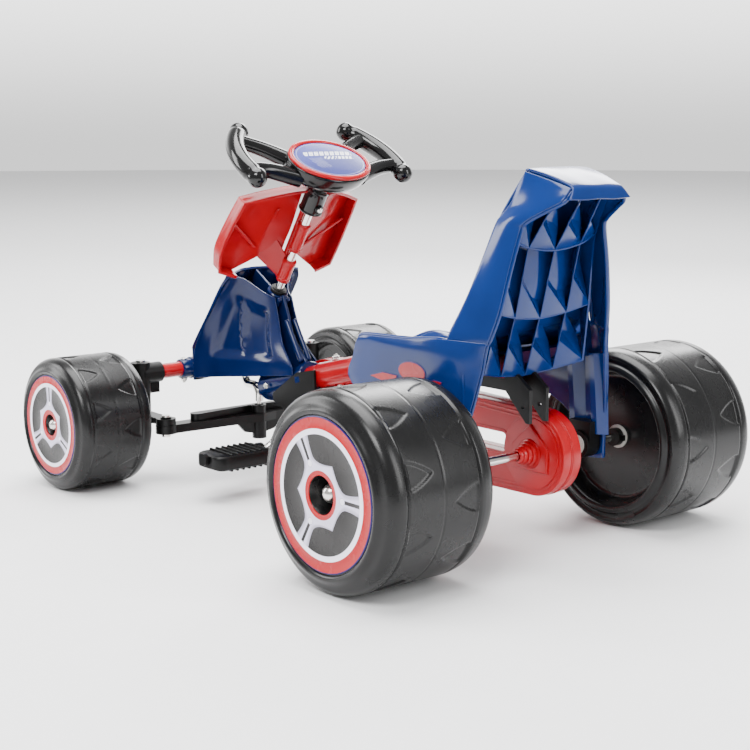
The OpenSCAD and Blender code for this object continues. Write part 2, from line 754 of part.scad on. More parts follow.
// Outline that wraps both chain wheels, grown by the given amounts at the front and the rear
module wrap_outline(rf, rr) {
    open = asin((rf - rr) / run_dist);
    a = 90 + run_slope + open;
    b = -90 + run_slope - open;
    translate([crank_x, crank_z]) circle(r = rf, $fn = 96);
    translate([rear_x, rear_z]) circle(r = rr, $fn = 96);
    // The sides stop just short of tangent, so that they cross the circles
    polygon([
        [crank_x, crank_z] + (rf - 0.04) * polar(a), [rear_x, rear_z] + (rr - 0.04) * polar(a),
        [rear_x, rear_z] + (rr - 0.04) * polar(b), [crank_x, crank_z] + (rf - 0.04) * polar(b)
    ]);
}

// Turns a drawing of the X-Z plane so that its thickness grows from y0 towards -Y
module in_plane(y0, thick) {
    translate([0, y0, 0]) rotate([90, 0, 0]) linear_extrude(thick) children();
}

module chain() {
    half = 3.4;
    color([0.35, 0.35, 0.37]) {
        for (y = [guard_mid + 3.6, guard_mid - 2.2]) in_plane(y, 1.4) difference() {
            wrap_outline(front_pr + half, rear_pr + half);
            wrap_outline(front_pr - half, rear_pr - half);
        }
        // Rollers of the two straight runs, clear of the teeth
        for (s = [1, -1], n = [3 : floor((straight - 28) / pitch)]) {
            p = on_run(s, n);
            translate([p[0], guard_mid + 2.4, p[1]]) rotate([90, 0, 0]) cylinder(d = roller_d, h = 4.8, $fn = 16);
        }
    }
}

module front_sprocket() {
    color(STEEL) translate([crank_x, guard_mid, crank_z]) rotate([90, 0, 0])
        sprocket(front_teeth, front_pr, crank_d, 24);
}

module rear_sprocket() {
    color(STEEL) translate([rear_x, guard_mid, rear_z]) rotate([90, 0, 0])
        sprocket(rear_teeth, rear_pr, axle_d, 24);
}

// Long window between the two chain runs
module guard_window(grow) {
    x0 = rear_x + 53 - grow;
    x1 = crank_x - guard_rf - 20 + grow;
    translate([x0, rear_z - 7 - grow]) square([x1 - x0, 27 + 2 * grow]);
}

module guard_half(y0) {
    // Open tray: full wall on the far side of y0, rim all round
    difference() {
        in_plane(y0, guard_w / 2) difference() {
            wrap_outline(guard_rf, guard_rr);
            guard_window(0);
        }
        in_plane(y0 - guard_wall, guard_w) difference() {
            wrap_outline(guard_rf - guard_wall, guard_rr - guard_wall);
            guard_window(guard_wall);
        }
    }
}

module guard_inner() {
    color(RED) difference() {
        union() {
            guard_half(guard_in);
            // Raised disc and stepped hub round the axle
            outward(rear_x, guard_in - 1, rear_z) {
                cylinder(r = guard_rr - 6, h = 3);
                cylinder(r = 21, h = 10);
                cylinder(r = 17, h = 15);
                cylinder(r = 14, h = 21);
                cylinder(r = 12, h = 27);
                cylinder(r = 10, h = 31);
            }
        }
        outward(rear_x, guard_in - 20, rear_z) cylinder(d = axle_d + 1, h = 80);
        outward(crank_x, guard_in - 20, crank_z) cylinder(d = crank_d + 2, h = 80);
        guard_screw_rods();
    }
}

module guard_outer() {
    color(RED) difference() {
        translate([0, 2 * guard_mid, 0]) mirror([0, 1, 0]) guard_half(guard_in);
        outward(crank_x, guard_mid - 60, crank_z) cylinder(d = crank_d + 2, h = 80);
        outward(rear_x, guard_mid - 60, rear_z) cylinder(d = axle_d + 1, h = 80);
        guard_screw_rods();
    }
}

// Screws that hold the guard's halves together
module guard_screw_rods() {
    for (x = [rear_x + 90, rear_x + 210, crank_x - guard_rf - 14])
        outward(x, guard_in - guard_w - 1.2, x == rear_x + 210 ? rear_z + 24.5 : rear_z - 11.5)
            cylinder(d = 6, h = guard_w + 2);
}

module guard_screws() {
    color(STEEL) guard_screw_rods();
}

// Pedal block that swings on the crank's end, drawn round its own pin at the origin
module pedal_block() {
    difference() {
        union() {
            linear_extrude(pedal_len) polygon([
                [-34, -12], [-30, -16], [30, -16], [34, -12], [34, 4], [30, 7], [-30, 7], [-34, 4]
            ]);
            cylinder(d = 24, h = 16);
            linear_extrude(14) polygon([[-24, 6], [-5, 15], [5, 15], [24, 6]]);
        }
        translate([0, 0, -1]) cylinder(d = crank_d + 2 * run_gap, h = pedal_len + 2);
        // Round nose at the outer end
        translate([0, 0, pedal_len]) rotate([90, 0, 0]) difference() {
            translate([-50, -37, -30]) cube([100, 60, 60]);
            translate([0, -37, -31]) cylinder(r = 36, h = 62);
        }
        // Moulded pockets under the tread
        for (k = [0 : 2]) for (x = [-26, 12])
            translate([x, -17, 26 + k * 18]) cube([14, 12, 12]);
    }
}

module left_pedal() {
    p = arm_point(1, crank_throw, pedal_in);
    color(BLACK) outward(p[0], p[1], p[2]) mirror([0, 1, 0]) pedal_block();
}

module right_pedal() {
    p = arm_point(-1, crank_throw, -pedal_in);
    color(BLACK) translate(p) rotate([90, 0, 0]) pedal_block();
}

module pedal_caps() {
    color(BLACK) for (s = [1, -1]) {
        p = arm_point(s, crank_throw, s * (pedal_in + pedal_len + face_gap));
        translate(p) rotate([s > 0 ? -90 : 90, 0, 0]) difference() {
            cylinder(d = crank_d + 6, h = 6);
            translate([0, 0, -1]) cylinder(d = crank_d, h = 4 - face_gap);
        }
    }
}

// ---- Rear axle ----

axle_end = rear_in + hub_depth(rear_w) + 16;

module rear_axle() {
    color(STEEL) outward(rear_x, -axle_end, rear_z) cylinder(d = axle_d, h = 2 * axle_end);
}

module axle_nuts() {
    for (s = [1, -1]) place_rear(s) hub_nut(rear_w, axle_d);
}

// Collar that locks the right wheel to the axle
module drive_key() {
    color(STEEL) outward(rear_x, -rear_in - rear_w * 0.17 + 3 + EPS, rear_z) difference() {
        union() {
            cylinder(d = 26, h = 10);
            translate([-16, -4, 0]) cube([32, 8, 5]);
        }
        translate([0, 0, -1]) cylinder(d = axle_d, h = 20);
    }
}

module bearing_block() {
    color(BLACK) outward(rear_x, block_y - block_w / 2, rear_z) difference() {
        union() {
            cylinder(d = 40, h = block_w);
            translate([-20, -34, 4]) cube([40, 34, block_w - 4]);
        }
        translate([0, 0, -1]) cylinder(d = 22, h = block_w + 2);
    }
}

module left_bearing_block() { side(1) bearing_block(); }
module right_bearing_block() { side(-1) bearing_block(); }

module block_bushes() {
    color([0.75, 0.75, 0.72]) for (s = [1, -1]) side(s)
        outward(rear_x, block_y - block_w / 2 - 2, rear_z) difference() {
            union() {
                cylinder(d = 21.96, h = block_w + 2);
                cylinder(d = 28, h = 2);
            }
            translate([0, 0, -1]) cylinder(d = axle_d + 2 * run_gap, h = block_w + 6);
        }
}

// ---- Seat ----

rise = seat_top - 520;
panel_y = block_y + block_w / 2 + 0.4;
pan_top = beam_z + beam_d / 2 + 1 + seat_wall;

// Outer surface of a side panel, from the cap down to the axle: front edge, middle, rear edge
panel_rows = [
    [[rear_x - 53, 53, seat_top], [rear_x - 90, 49, seat_top - 10], [rear_x - 125, 44, seat_top - 21]],
    [[rear_x - 42, 68, 480 + rise], [rear_x - 80, 70, 474 + rise], [rear_x - 106, 66, 474 + rise]],
    [[rear_x - 28, 80, 455 + rise], [rear_x - 50, 82, 452 + rise], [rear_x - 71, 80, 450 + rise]],
    [[rear_x - 21, 97, 407 + rise], [rear_x - 44, 96, 402 + rise], [rear_x - 65, 92, 398 + rise]],
    [[rear_x - 13, 118, 355], [rear_x - 38, 112, 350], [rear_x - 58, 104, 340]],
    [[rear_x + 1, 140.6, 295], [rear_x - 24, 126.8, 293], [rear_x - 47, 113.8, 293]]
];
apron_rows = [
    [[rear_x + 153, rim_half, 293], [rear_x + 70, rim_half - 4, 296], [rear_x + 2, 142, 302],
     [rear_x - 48, 115, 300]],
    [[rear_x + 176, rim_half, 276], [rear_x + 70, rim_half - 3, 262], [rear_x - 4, panel_y + 6, 262],
     [rear_x - 43, 119, 262]],
    [[rear_x + 185, rim_half - 2, 223], [rear_x + 70, panel_y + 4, 214], [rear_x - 8, panel_y + 4, 214],
     [rear_x - 36, 130, 214]],
    [[rear_x + 60, panel_y + 4, 172], [rear_x + 40, panel_y + 4, 172], [rear_x + 10, panel_y + 4, 172],
     [rear_x - 28, panel_y + 4, 172]],
    [[rear_x + 24, panel_y + 4, 110], [rear_x + 10, panel_y + 4, 108], [rear_x - 6, panel_y + 4, 108],
     [rear_x - 24, panel_y + 4, 110]]
];

// Backrest wall and pan: half section from the middle plane out to the side panels
back_rows = [
    [[rear_x - 49, 52, seat_top - 4], [rear_x - 56, 0, seat_top - 2], [rear_x - 49, -52, seat_top - 4]],
    [[rear_x - 28, 78, 455 + rise], [rear_x - 42, 0, 455 + rise], [rear_x - 28, -78, 455 + rise]],
    [[rear_x - 21, 95, 407 + rise], [rear_x - 38, 0, 407 + rise], [rear_x - 21, -95, 407 + rise]],
    [[rear_x - 10, 114, 355], [rear_x - 30, 0, 355], [rear_x - 10, -114, 355]],
    [[rear_x + 6, 124, 310], [rear_x - 8, 0, 310], [rear_x + 6, -124, 310]],
    [[rear_x + 30, 130, 282], [rear_x + 24, 0, 282], [rear_x + 30, -130, 282]],
    [[rear_x + 50, 132, pan_top], [rear_x + 46, 0, pan_top], [rear_x + 50, -132, pan_top]]
];

module seat_half() {
    sheet(panel_rows, [0, -seat_wall, 0]);
    sheet(apron_rows, [0, -seat_wall, 0]);
    // Side of the pan, from the rim down to the flat
    sheet([
        [[rear_x + 152, rim_half - 1.5, 292], [rear_x + 71, rim_half - 5.5, 295], [rear_x + 4, 139, 300]],
        [[rear_x + 160, 119, pan_top - 0.5], [rear_x + 71, 119, pan_top - 0.5],
         [rear_x + 31, 119, pan_top - 0.5]]
    ], [0, -2, -seat_wall]);
}

module seat_form() {
    union() {
        for (s = [1, -1]) side(s) seat_half();
        sheet(back_rows, [-seat_wall, 0, -1]);
        // Flat of the pan and its turned-down front
        translate([rear_x + 26, -122, pan_top - seat_wall]) cube([138, 244, seat_wall]);
        sheet([
            [[rear_x + 160, 140, 286], [rear_x + 178, 60, 272], [rear_x + 182, 0, 284],
             [rear_x + 178, -60, 272], [rear_x + 160, -140, 286]],
            [[rear_x + 158, 140, pan_top - 2], [rear_x + 162, 60, pan_top - 2], [rear_x + 162, 0, pan_top - 2],
             [rear_x + 162, -60, pan_top - 2], [rear_x + 158, -140, pan_top - 2]]
        ], [-seat_wall, 0, 0]);
        sheet([
            [[rear_x + 161, rim_half - 2, 285], [rear_x + 179, 61, 274], [rear_x + 183, 0, 284],
             [rear_x + 179, -61, 274], [rear_x + 161, 2 - rim_half, 285]],
            [[rear_x + 183, rim_half - 3, 228], [rear_x + 190, 60, 262], [rear_x + 190, 0, 271],
             [rear_x + 190, -60, 262], [rear_x + 183, 3 - rim_half, 228]]
        ], [-seat_wall, 0, 0]);
        // Cap over the backrest
        sheet([
            [[rear_x - 50, 54, seat_top], [rear_x - 50, 0, seat_top + 1], [rear_x - 50, -54, seat_top]],
            [[rear_x - 124, 47, seat_top - 20], [rear_x - 124, 0, seat_top - 19],
             [rear_x - 124, -47, seat_top - 20]],
            [[rear_x - 130, 58, seat_top - 34], [rear_x - 130, 0, seat_top - 33],
             [rear_x - 130, -58, seat_top - 34]]
        ], [0, 0, -seat_wall]);
        // Level ribs behind the backrest
        for (r = [[424 + rise, 90, 32, 54], [336, 104, 20, 33], [262, 119, -16, 8]])
            translate([0, 0, r[0]]) linear_extrude(3)
                polygon([[rear_x - r[2], -r[1]], [rear_x - r[3] - 18, -r[1]], [rear_x - r[3], -49],
                         [rear_x - r[3], 49], [rear_x - r[3] - 18, r[1]], [rear_x - r[2], r[1]]]);
        // Upright ribs that run down to the rear bracket
        for (y = [-62, 62]) translate([0, y + 1.5, 0]) rotate([90, 0, 0]) linear_extrude(3)
            polygon([[rear_x - 34, 440 + rise], [rear_x - 54, 426 + rise], [rear_x - 35, 336],
                     [rear_x - 10, 250], [rear_x - 36, 196], [rear_x - 22, 196], [rear_x + 4, 250],
                     [rear_x + 6, 262], [rear_x - 8, 310], [rear_x - 28, 355]]);
    }
}

module seat_shell() {
    color(BLUE) difference() {
        seat_form();
        outward(rear_x, -170, rear_z) cylinder(d = axle_d + 4, h = 340);
        for (x = seat_bolt_x) translate([x, 0, pan_top]) {
            translate([0, 0, -10]) cylinder(d = 6, h = 20);
            translate([0, 0, -2.5]) cylinder(d = 13, h = 10);
        }
    }
}

module seat_bolts() {
    color(STEEL) for (x = seat_bolt_x) translate([x, 0, pan_top]) {
        translate([0, 0, -seat_wall - 6]) cylinder(d = 6, h = seat_wall + 4);
        translate([0, 0, -2.5]) cylinder(d = 13, h = 2.4);
    }
}

rear_beam();
front_beam();
beam_bolts();
cross_tube();
front_cowl();
cowl_screws();
column_collar();
column_foot_bush();
left_end_bracket();
right_end_bracket();
kingpins();
rear_bracket();
crank_bracket();
crank_bush();
steering_column();
steering_wheel();
wheel_trim_ring();
wheel_badge();
hub_screw();
steering_fairing();
fairing_clips();
left_knuckle();
right_knuckle();
left_stub_axle();
right_stub_axle();
tie_plate();
left_arm_bolt();
right_arm_bolt();
front_left_wheel();
front_left_disc();
front_left_bushes();
front_right_wheel();
front_right_disc();
front_right_bushes();
front_left_nut();
front_right_nut();
crank_rod();
front_sprocket();
chain();
left_pedal();
right_pedal();
pedal_caps();
guard_inner();
guard_outer();
guard_screws();
rear_axle();
rear_sprocket();
axle_nuts();
drive_key();
rear_left_wheel();
rear_left_disc();
rear_left_bushes();
rear_right_wheel();
rear_right_disc();
rear_right_bushes();
left_bearing_block();
right_bearing_block();
block_bushes();
seat_shell();
seat_bolts();
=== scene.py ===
"""A child's pedal go kart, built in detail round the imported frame."""

import json
import logging
import math
from dataclasses import dataclass, field
from enum import Enum
from typing import Any, Callable, Sequence

import bmesh
import bpy
import numpy as np
from mathutils import Matrix, Vector
from mathutils.bvhtree import BVHTree

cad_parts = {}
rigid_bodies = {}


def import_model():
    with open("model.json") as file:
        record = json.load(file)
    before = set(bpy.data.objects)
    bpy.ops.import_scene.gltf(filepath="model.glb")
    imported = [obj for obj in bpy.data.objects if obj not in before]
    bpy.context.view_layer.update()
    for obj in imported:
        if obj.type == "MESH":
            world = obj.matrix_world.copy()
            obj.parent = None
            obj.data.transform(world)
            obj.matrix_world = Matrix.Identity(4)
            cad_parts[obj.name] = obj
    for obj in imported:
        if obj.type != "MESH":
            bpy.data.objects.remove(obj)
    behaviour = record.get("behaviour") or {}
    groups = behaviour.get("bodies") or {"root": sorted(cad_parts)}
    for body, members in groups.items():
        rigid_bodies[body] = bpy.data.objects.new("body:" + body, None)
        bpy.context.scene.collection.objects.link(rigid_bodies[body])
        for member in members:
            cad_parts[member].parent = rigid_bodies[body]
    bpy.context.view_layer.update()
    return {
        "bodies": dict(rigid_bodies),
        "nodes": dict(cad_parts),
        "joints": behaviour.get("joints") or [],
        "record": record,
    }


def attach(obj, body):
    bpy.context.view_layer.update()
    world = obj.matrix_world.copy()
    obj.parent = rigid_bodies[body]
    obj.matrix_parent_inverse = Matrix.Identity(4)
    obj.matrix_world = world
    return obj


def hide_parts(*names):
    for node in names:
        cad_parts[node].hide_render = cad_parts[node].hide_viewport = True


LOG = logging.getLogger("kart")
MM = 0.001
Point = Sequence[float]
Colour = tuple[float, float, float]


class Slot(Enum):
    """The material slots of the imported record."""

    TUBE_RED = "tube_red"
    RED_MOULDING = "red_moulding"
    COWL_BLUE = "cowl_blue"
    SEAT_BLUE = "seat_blue"
    BLACK_MOULDING = "black_moulding"
    WHEEL_BLACK = "wheel_black"
    GRIP_BLACK = "grip_black"
    PRINT_DISC = "print_disc"
    BADGE_BLUE = "badge_blue"
    ZINC = "zinc_steel"
    ROD = "bright_rod"
    NYLON = "bush_nylon"


class Side(Enum):
    """Which side of the kart a piece is on, as the sign of its Y."""

    LEFT = 1
    RIGHT = -1


# ---- Node graphs ----


class Val:
    """A socket whose operators add Math nodes, so that shader maths reads as an expression."""

    def __init__(self, graph: "Graph", socket: bpy.types.NodeSocket) -> None:
        """Wraps one output socket of a graph."""
        self.graph = graph
        self.socket = socket

    def math(self, operation: str, *others: Any) -> "Val":
        """Adds one Math node.

        Args:
            operation: The Math node's operation.
            others: Its second and third inputs, as numbers or Vals.

        Returns:
            The node's result.
        """
        return self.graph.math(operation, self, *others)

    def __add__(self, other: Any) -> "Val":
        """self + other."""
        return self.math("ADD", other)

    __radd__ = __add__

    def __sub__(self, other: Any) -> "Val":
        """self - other."""
        return self.math("SUBTRACT", other)

    def __rsub__(self, other: Any) -> "Val":
        """other - self."""
        return self.graph.math("SUBTRACT", other, self)

    def __mul__(self, other: Any) -> "Val":
        """self * other."""
        return self.math("MULTIPLY", other)

    __rmul__ = __mul__

    def __truediv__(self, other: Any) -> "Val":
        """self / other."""
        return self.math("DIVIDE", other)

    def __rtruediv__(self, other: Any) -> "Val":
        """other / self."""
        return self.graph.math("DIVIDE", other, self)

    def __abs__(self) -> "Val":
        """The value without its sign."""
        return self.math("ABSOLUTE")

    def rise(self, start: float, width: float) -> "Val":
        """0 below start and 1 above start + width, with a smooth rise between them."""
        share = self.graph.math("MULTIPLY", self - start, 1.0 / width, clamp=True)
        return share * share * (3.0 - 2.0 * share)

    def inside(self, limit: Any, soft: float) -> "Val":
        """1 where the value's size is under limit, fading over soft.

        Args:
            limit: Half the width of the band, as a number or a Val.
            soft: The width of the faded edge.

        Returns:
            The mask.
        """
        return self.graph.math("MULTIPLY", limit - abs(self), 1.0 / soft, clamp=True)


class Graph:
    """A shader or geometry node tree being filled."""

    def __init__(self, tree: bpy.types.NodeTree) -> None:
        """Starts on an empty tree."""
        self.tree = tree
        tree.nodes.clear()

    def add(
        self,
        kind: str,
        settings: dict[str, Any] | None = None,
        inputs: dict[Any, Any] | None = None,
    ) -> bpy.types.Node:
        """Adds one node.

        Args:
            kind: The node's type name.
            settings: Its properties, set first. "stops" holds a colour ramp's (place, colour) pairs.
            inputs: Values, sockets or Vals, by socket name or number.

        Returns:
            The node.
        """
        node = self.tree.nodes.new(kind)
        for name, value in (settings or {}).items():
            if name != "stops":
                setattr(node, name, value)
                continue
            ramp = node.color_ramp
            while len(ramp.elements) < len(value):
                ramp.elements.new(0.5)
            for element, (place, colour) in zip(ramp.elements, value):
                element.position, element.color = place, (*colour, 1.0)
        for key, value in (inputs or {}).items():
            source = value.socket if isinstance(value, Val) else value
            if isinstance(source, bpy.types.NodeSocket):
                self.tree.links.new(source, node.inputs[key])
            else:
                node.inputs[key].default_value = source
        return node

    def math(self, operation: str, *values: Any, clamp: bool = False) -> Val:
        """Adds a Math node.

        Args:
            operation: What it does.
            values: Its inputs, as numbers or Vals.
            clamp: Whether its result is held between 0 and 1.

        Returns:
            Its result.
        """
        node = self.add(
            "ShaderNodeMath",
            {"operation": operation, "use_clamp": clamp},
            dict(enumerate(values)),
        )
        return Val(self, node.outputs[0])

    def out(self, node: bpy.types.Node, name: Any = 0) -> Val:
        """One output of a node as a Val."""
        return Val(self, node.outputs[name])

    def place(self) -> Val:
        """The surface point in the kart's frame, in metres."""
        return self.out(self.add("ShaderNodeTexCoord"), "Object")

    def split(self, vector: Val) -> tuple[Val, Val, Val]:
        """The three parts of a vector."""
        node = self.add("ShaderNodeSeparateXYZ", inputs={0: vector})
        return self.out(node, 0), self.out(node, 1), self.out(node, 2)

    def stretched(self, vector: Val, scale: Point) -> Val:
        """A vector scaled by a Mapping node."""
        node = self.add("ShaderNodeMapping", inputs={"Vector": vector, "Scale": tuple(scale)})
        return self.out(node)

    def noise(self, vector: Val, scale: float, detail: float = 2.0) -> Val:
        """Noise between about 0.3 and 0.7.

        Args:
            vector: Where it is read.
            scale: Cells in a metre.
            detail: Octaves.

        Returns:
            The noise's value.
        """
        node = self.add(
            "ShaderNodeTexNoise",
            inputs={"Vector": vector, "Scale": scale, "Detail": detail, "Roughness": 0.55},
        )
        return self.out(node, "Fac")

    def mix(self, low: Any, high: Any, share: Any) -> Val:
        """Mixes two colours.

        Args:
            low: The colour at 0, as three numbers or a Val.
            high: The colour at 1.
            share: The factor.

        Returns:
            The mixed colour.
        """
        pair = [c if isinstance(c, Val) else (*c, 1.0) for c in (low, high)]
        node = self.add(
            "ShaderNodeMix",
            {"data_type": "RGBA"},
            {0: share, 6: pair[0], 7: pair[1]},
        )
        return self.out(node, 2)

    def bump(self, height: Val, distance: float, strength: float = 1.0) -> Val:
        """A normal from a height between 0 and 1 that stands for distance in metres."""
        node = self.add(
            "ShaderNodeBump",
            inputs={"Height": height, "Distance": distance, "Strength": strength},
        )
        return self.out(node, "Normal")

    def surface(self, constants: dict[str, Any], linked: dict[str, Any]) -> None:
        """Ends a material in one Principled shader.

        Args:
            constants: Values that hold all over, set on the shader's own sockets.
            linked: What changes over the surface.
        """
        shader = self.add("ShaderNodeBsdfPrincipled", inputs={**constants, **linked})
        self.add("ShaderNodeOutputMaterial", inputs={"Surface": shader.outputs[0]})


# ---- Finishes ----


@dataclass(frozen=True)
class Finish:
    """What every finish has: a name and a base colour."""

    name: str
    colour: Colour

    def material(self) -> bpy.types.Material:
        """The finish as a material, made once."""
        name = self.name + "_finish"
        made = bpy.data.materials.get(name)
        if made is None:
            made = bpy.data.materials.new(name)
            made.use_nodes = True
            made.diffuse_color = (*self.colour, 1.0)
            self.fill(Graph(made.node_tree))
        return made

    def fill(self, graph: Graph) -> None:
        """Adds the finish's nodes to a graph."""
        raise NotImplementedError


@dataclass(frozen=True)
class Moulded(Finish):
    """Moulded plastic: a slight mottle, flow lines, fine grain and lighter rubbed edges."""

    roughness: float = 0.3
    grain: float = 0.000003
    cells: float = 1500.0
    ripple: float = 0.000006
    mottle: float = 0.18
    rub: float = 0.3
    coat: float = 0.0
    shine: float = 0.5

    def fill(self, graph: Graph) -> None:
        """Adds the plastic's nodes."""
        point = graph.place()
        cloud = graph.noise(point, 16.0, 3.0)
        flow = graph.noise(graph.stretched(point, (18.0, 55.0, 30.0)), 1.0, 3.0)
        speck = graph.noise(point, self.cells, 2.0)
        ripple = graph.noise(point, 90.0, 2.0)
        edge = graph.out(graph.add("ShaderNodeNewGeometry"), "Pointiness").rise(0.53, 0.09)
        dark = tuple(c * (1.0 - self.mottle) for c in self.colour)
        light = tuple(c * 1.6 + 0.004 for c in self.colour)
        base = graph.mix(dark, self.colour, cloud.rise(0.32, 0.3))
        base = graph.mix(base, light, edge * self.rub)
        rough = self.roughness + (cloud - 0.5) * 0.08 + (flow - 0.5) * 0.07 + edge * 0.05
        height = speck * (self.grain * 1e4) + ripple * (self.ripple * 1e4)
        graph.surface(
            {
                "Coat Weight": self.coat,
                "Coat Roughness": 0.06,
                "Specular IOR Level": self.shine,
            },
            {"Base Color": base, "Roughness": rough, "Normal": graph.bump(height, 1e-4)},
        )


@dataclass(frozen=True)
class Enamel(Finish):
    """Baked powder coat on steel: orange peel under a clear gloss, with small chips of shade."""

    roughness: float = 0.28
    peel: float = 0.000008

    def fill(self, graph: Graph) -> None:
        """Adds the enamel's nodes."""
        point = graph.place()
        cloud = graph.noise(point, 22.0, 4.0)
        peel = graph.noise(point, 420.0, 2.0)
        fleck = graph.noise(point, 1900.0, 1.0)
        dark = tuple(c * 0.8 for c in self.colour)
        base = graph.mix(dark, self.colour, cloud.rise(0.3, 0.35))
        rough = self.roughness + (cloud - 0.5) * 0.12 + (fleck - 0.5) * 0.05
        graph.surface(
            {"Coat Weight": 0.15, "Coat Roughness": 0.08, "Specular IOR Level": 0.35},
            {
                "Base Color": base,
                "Roughness": rough,
                "Normal": graph.bump(peel, self.peel),
            },
        )


@dataclass(frozen=True)
class Plated(Finish):
    """Plated steel: drawn lines along it, cloudy spots and a little dulling."""

    roughness: float = 0.2
    lines: tuple[float, float, float] = (400.0, 12.0, 400.0)
    scratch: float = 0.000006
    cloud_depth: float = 0.25

    def fill(self, graph: Graph) -> None:
        """Adds the metal's nodes."""
        point = graph.place()
        drawn = graph.noise(graph.stretched(point, self.lines), 1.0, 3.0)
        cloud = graph.noise(point, 60.0, 4.0)
        pits = graph.noise(point, 900.0, 2.0)
        dull = tuple(c * (1.0 - self.cloud_depth) for c in self.colour)
        base = graph.mix(self.colour, dull, cloud.rise(0.45, 0.2))
        rough = self.roughness + (cloud - 0.4) * 0.22 + (drawn - 0.5) * 0.12
        height = drawn * 0.8 + pits * 0.2
        graph.surface(
            {"Metallic": 1.0},
            {
                "Base Color": base,
                "Roughness": rough,
                "Normal": graph.bump(height, self.scratch),
            },
        )


@dataclass(frozen=True)
class WheelPrint(Finish):
    """The printed wheel disc: three spokes in rings of colour round the hub."""

    centre: tuple[float, float] = (0.0, 0.0)
    turn: float = 0.0
    hub: float = 0.031
    spoke_end: float = 0.076
    white_end: float = 0.083
    red_end: float = 0.097
    grey: Colour = (0.010, 0.009, 0.009)
    red: Colour = (0.40, 0.0015, 0.006)
    lilac: Colour = (0.66, 0.63, 0.80)
    violet: Colour = (0.016, 0.014, 0.12)

    def fill(self, graph: Graph) -> None:
        """Adds the print's nodes."""
        point = graph.place()
        x, _, z = graph.split(point)
        across, up = x - self.centre[0], z - self.centre[1]
        radius = graph.math("SQRT", across * across + up * up)
        angle = graph.math("ARCTAN2", up, across) - self.turn
        third = 2.0 * math.pi / 3.0
        fold = graph.math("FLOORED_MODULO", angle + third / 2.0, third) - third / 2.0
        along, beside = radius * fold.math("COSINE"), radius * fold.math("SINE")
        size = self.spoke_end / 0.076
        inner = graph.math("MAXIMUM", 0.050 * size - along, 0.0)
        outer = graph.math("MAXIMUM", along - 0.050 * size, 0.0)
        half = 0.0100 * size + inner * inner * (44.0 / size) + outer * outer * (5.5 / size)
        spoke = beside.inside(half, 0.0004)
        rim = beside.inside(half - 0.0022 * size, 0.004 * size)
        slot = beside.inside(0.0026 * size, 0.0003) * along.rise(0.047 * size, 0.0004)
        reach = graph.math(
            "SQRT",
            (along - 0.0425 * size) * (along - 0.0425 * size) + beside * beside,
        )
        bolt = reach.inside(0.0046 * size, 0.0003)
        bolt_line = (reach - 0.0046 * size).inside(0.0005, 0.0003)
        shade = graph.noise(point, 45.0, 2.0).rise(0.3, 0.4)
        grey = graph.mix(self.grey, tuple(c * 1.5 for c in self.grey), shade)
        silver = graph.mix(tuple(c * 0.62 for c in self.lilac), self.lilac, rim)
        colour = graph.mix(grey, silver, spoke)
        colour = graph.mix(colour, self.grey, slot)
        colour = graph.mix(colour, (0.86, 0.84, 0.95), bolt)
        colour = graph.mix(colour, (0.34, 0.32, 0.45), bolt_line * 0.7)
        colour = graph.mix(self.red, colour, radius.rise(self.hub, 0.0003))
        for start, tone in (
            (self.spoke_end, (0.90, 0.87, 1.0)),
            (self.white_end, self.red),
            (self.red_end, self.violet),
        ):
            colour = graph.mix(colour, tone, radius.rise(start, 0.0004))
        dots = graph.noise(point, 2600.0, 1.0)
        rough = 0.26 + (shade - 0.5) * 0.06 + (dots - 0.5) * 0.06
        graph.surface(
            {"Specular IOR Level": 0.25},
            {
                "Base Color": colour,
                "Roughness": rough,
                "Normal": graph.bump(dots, 6e-6),
            },
        )


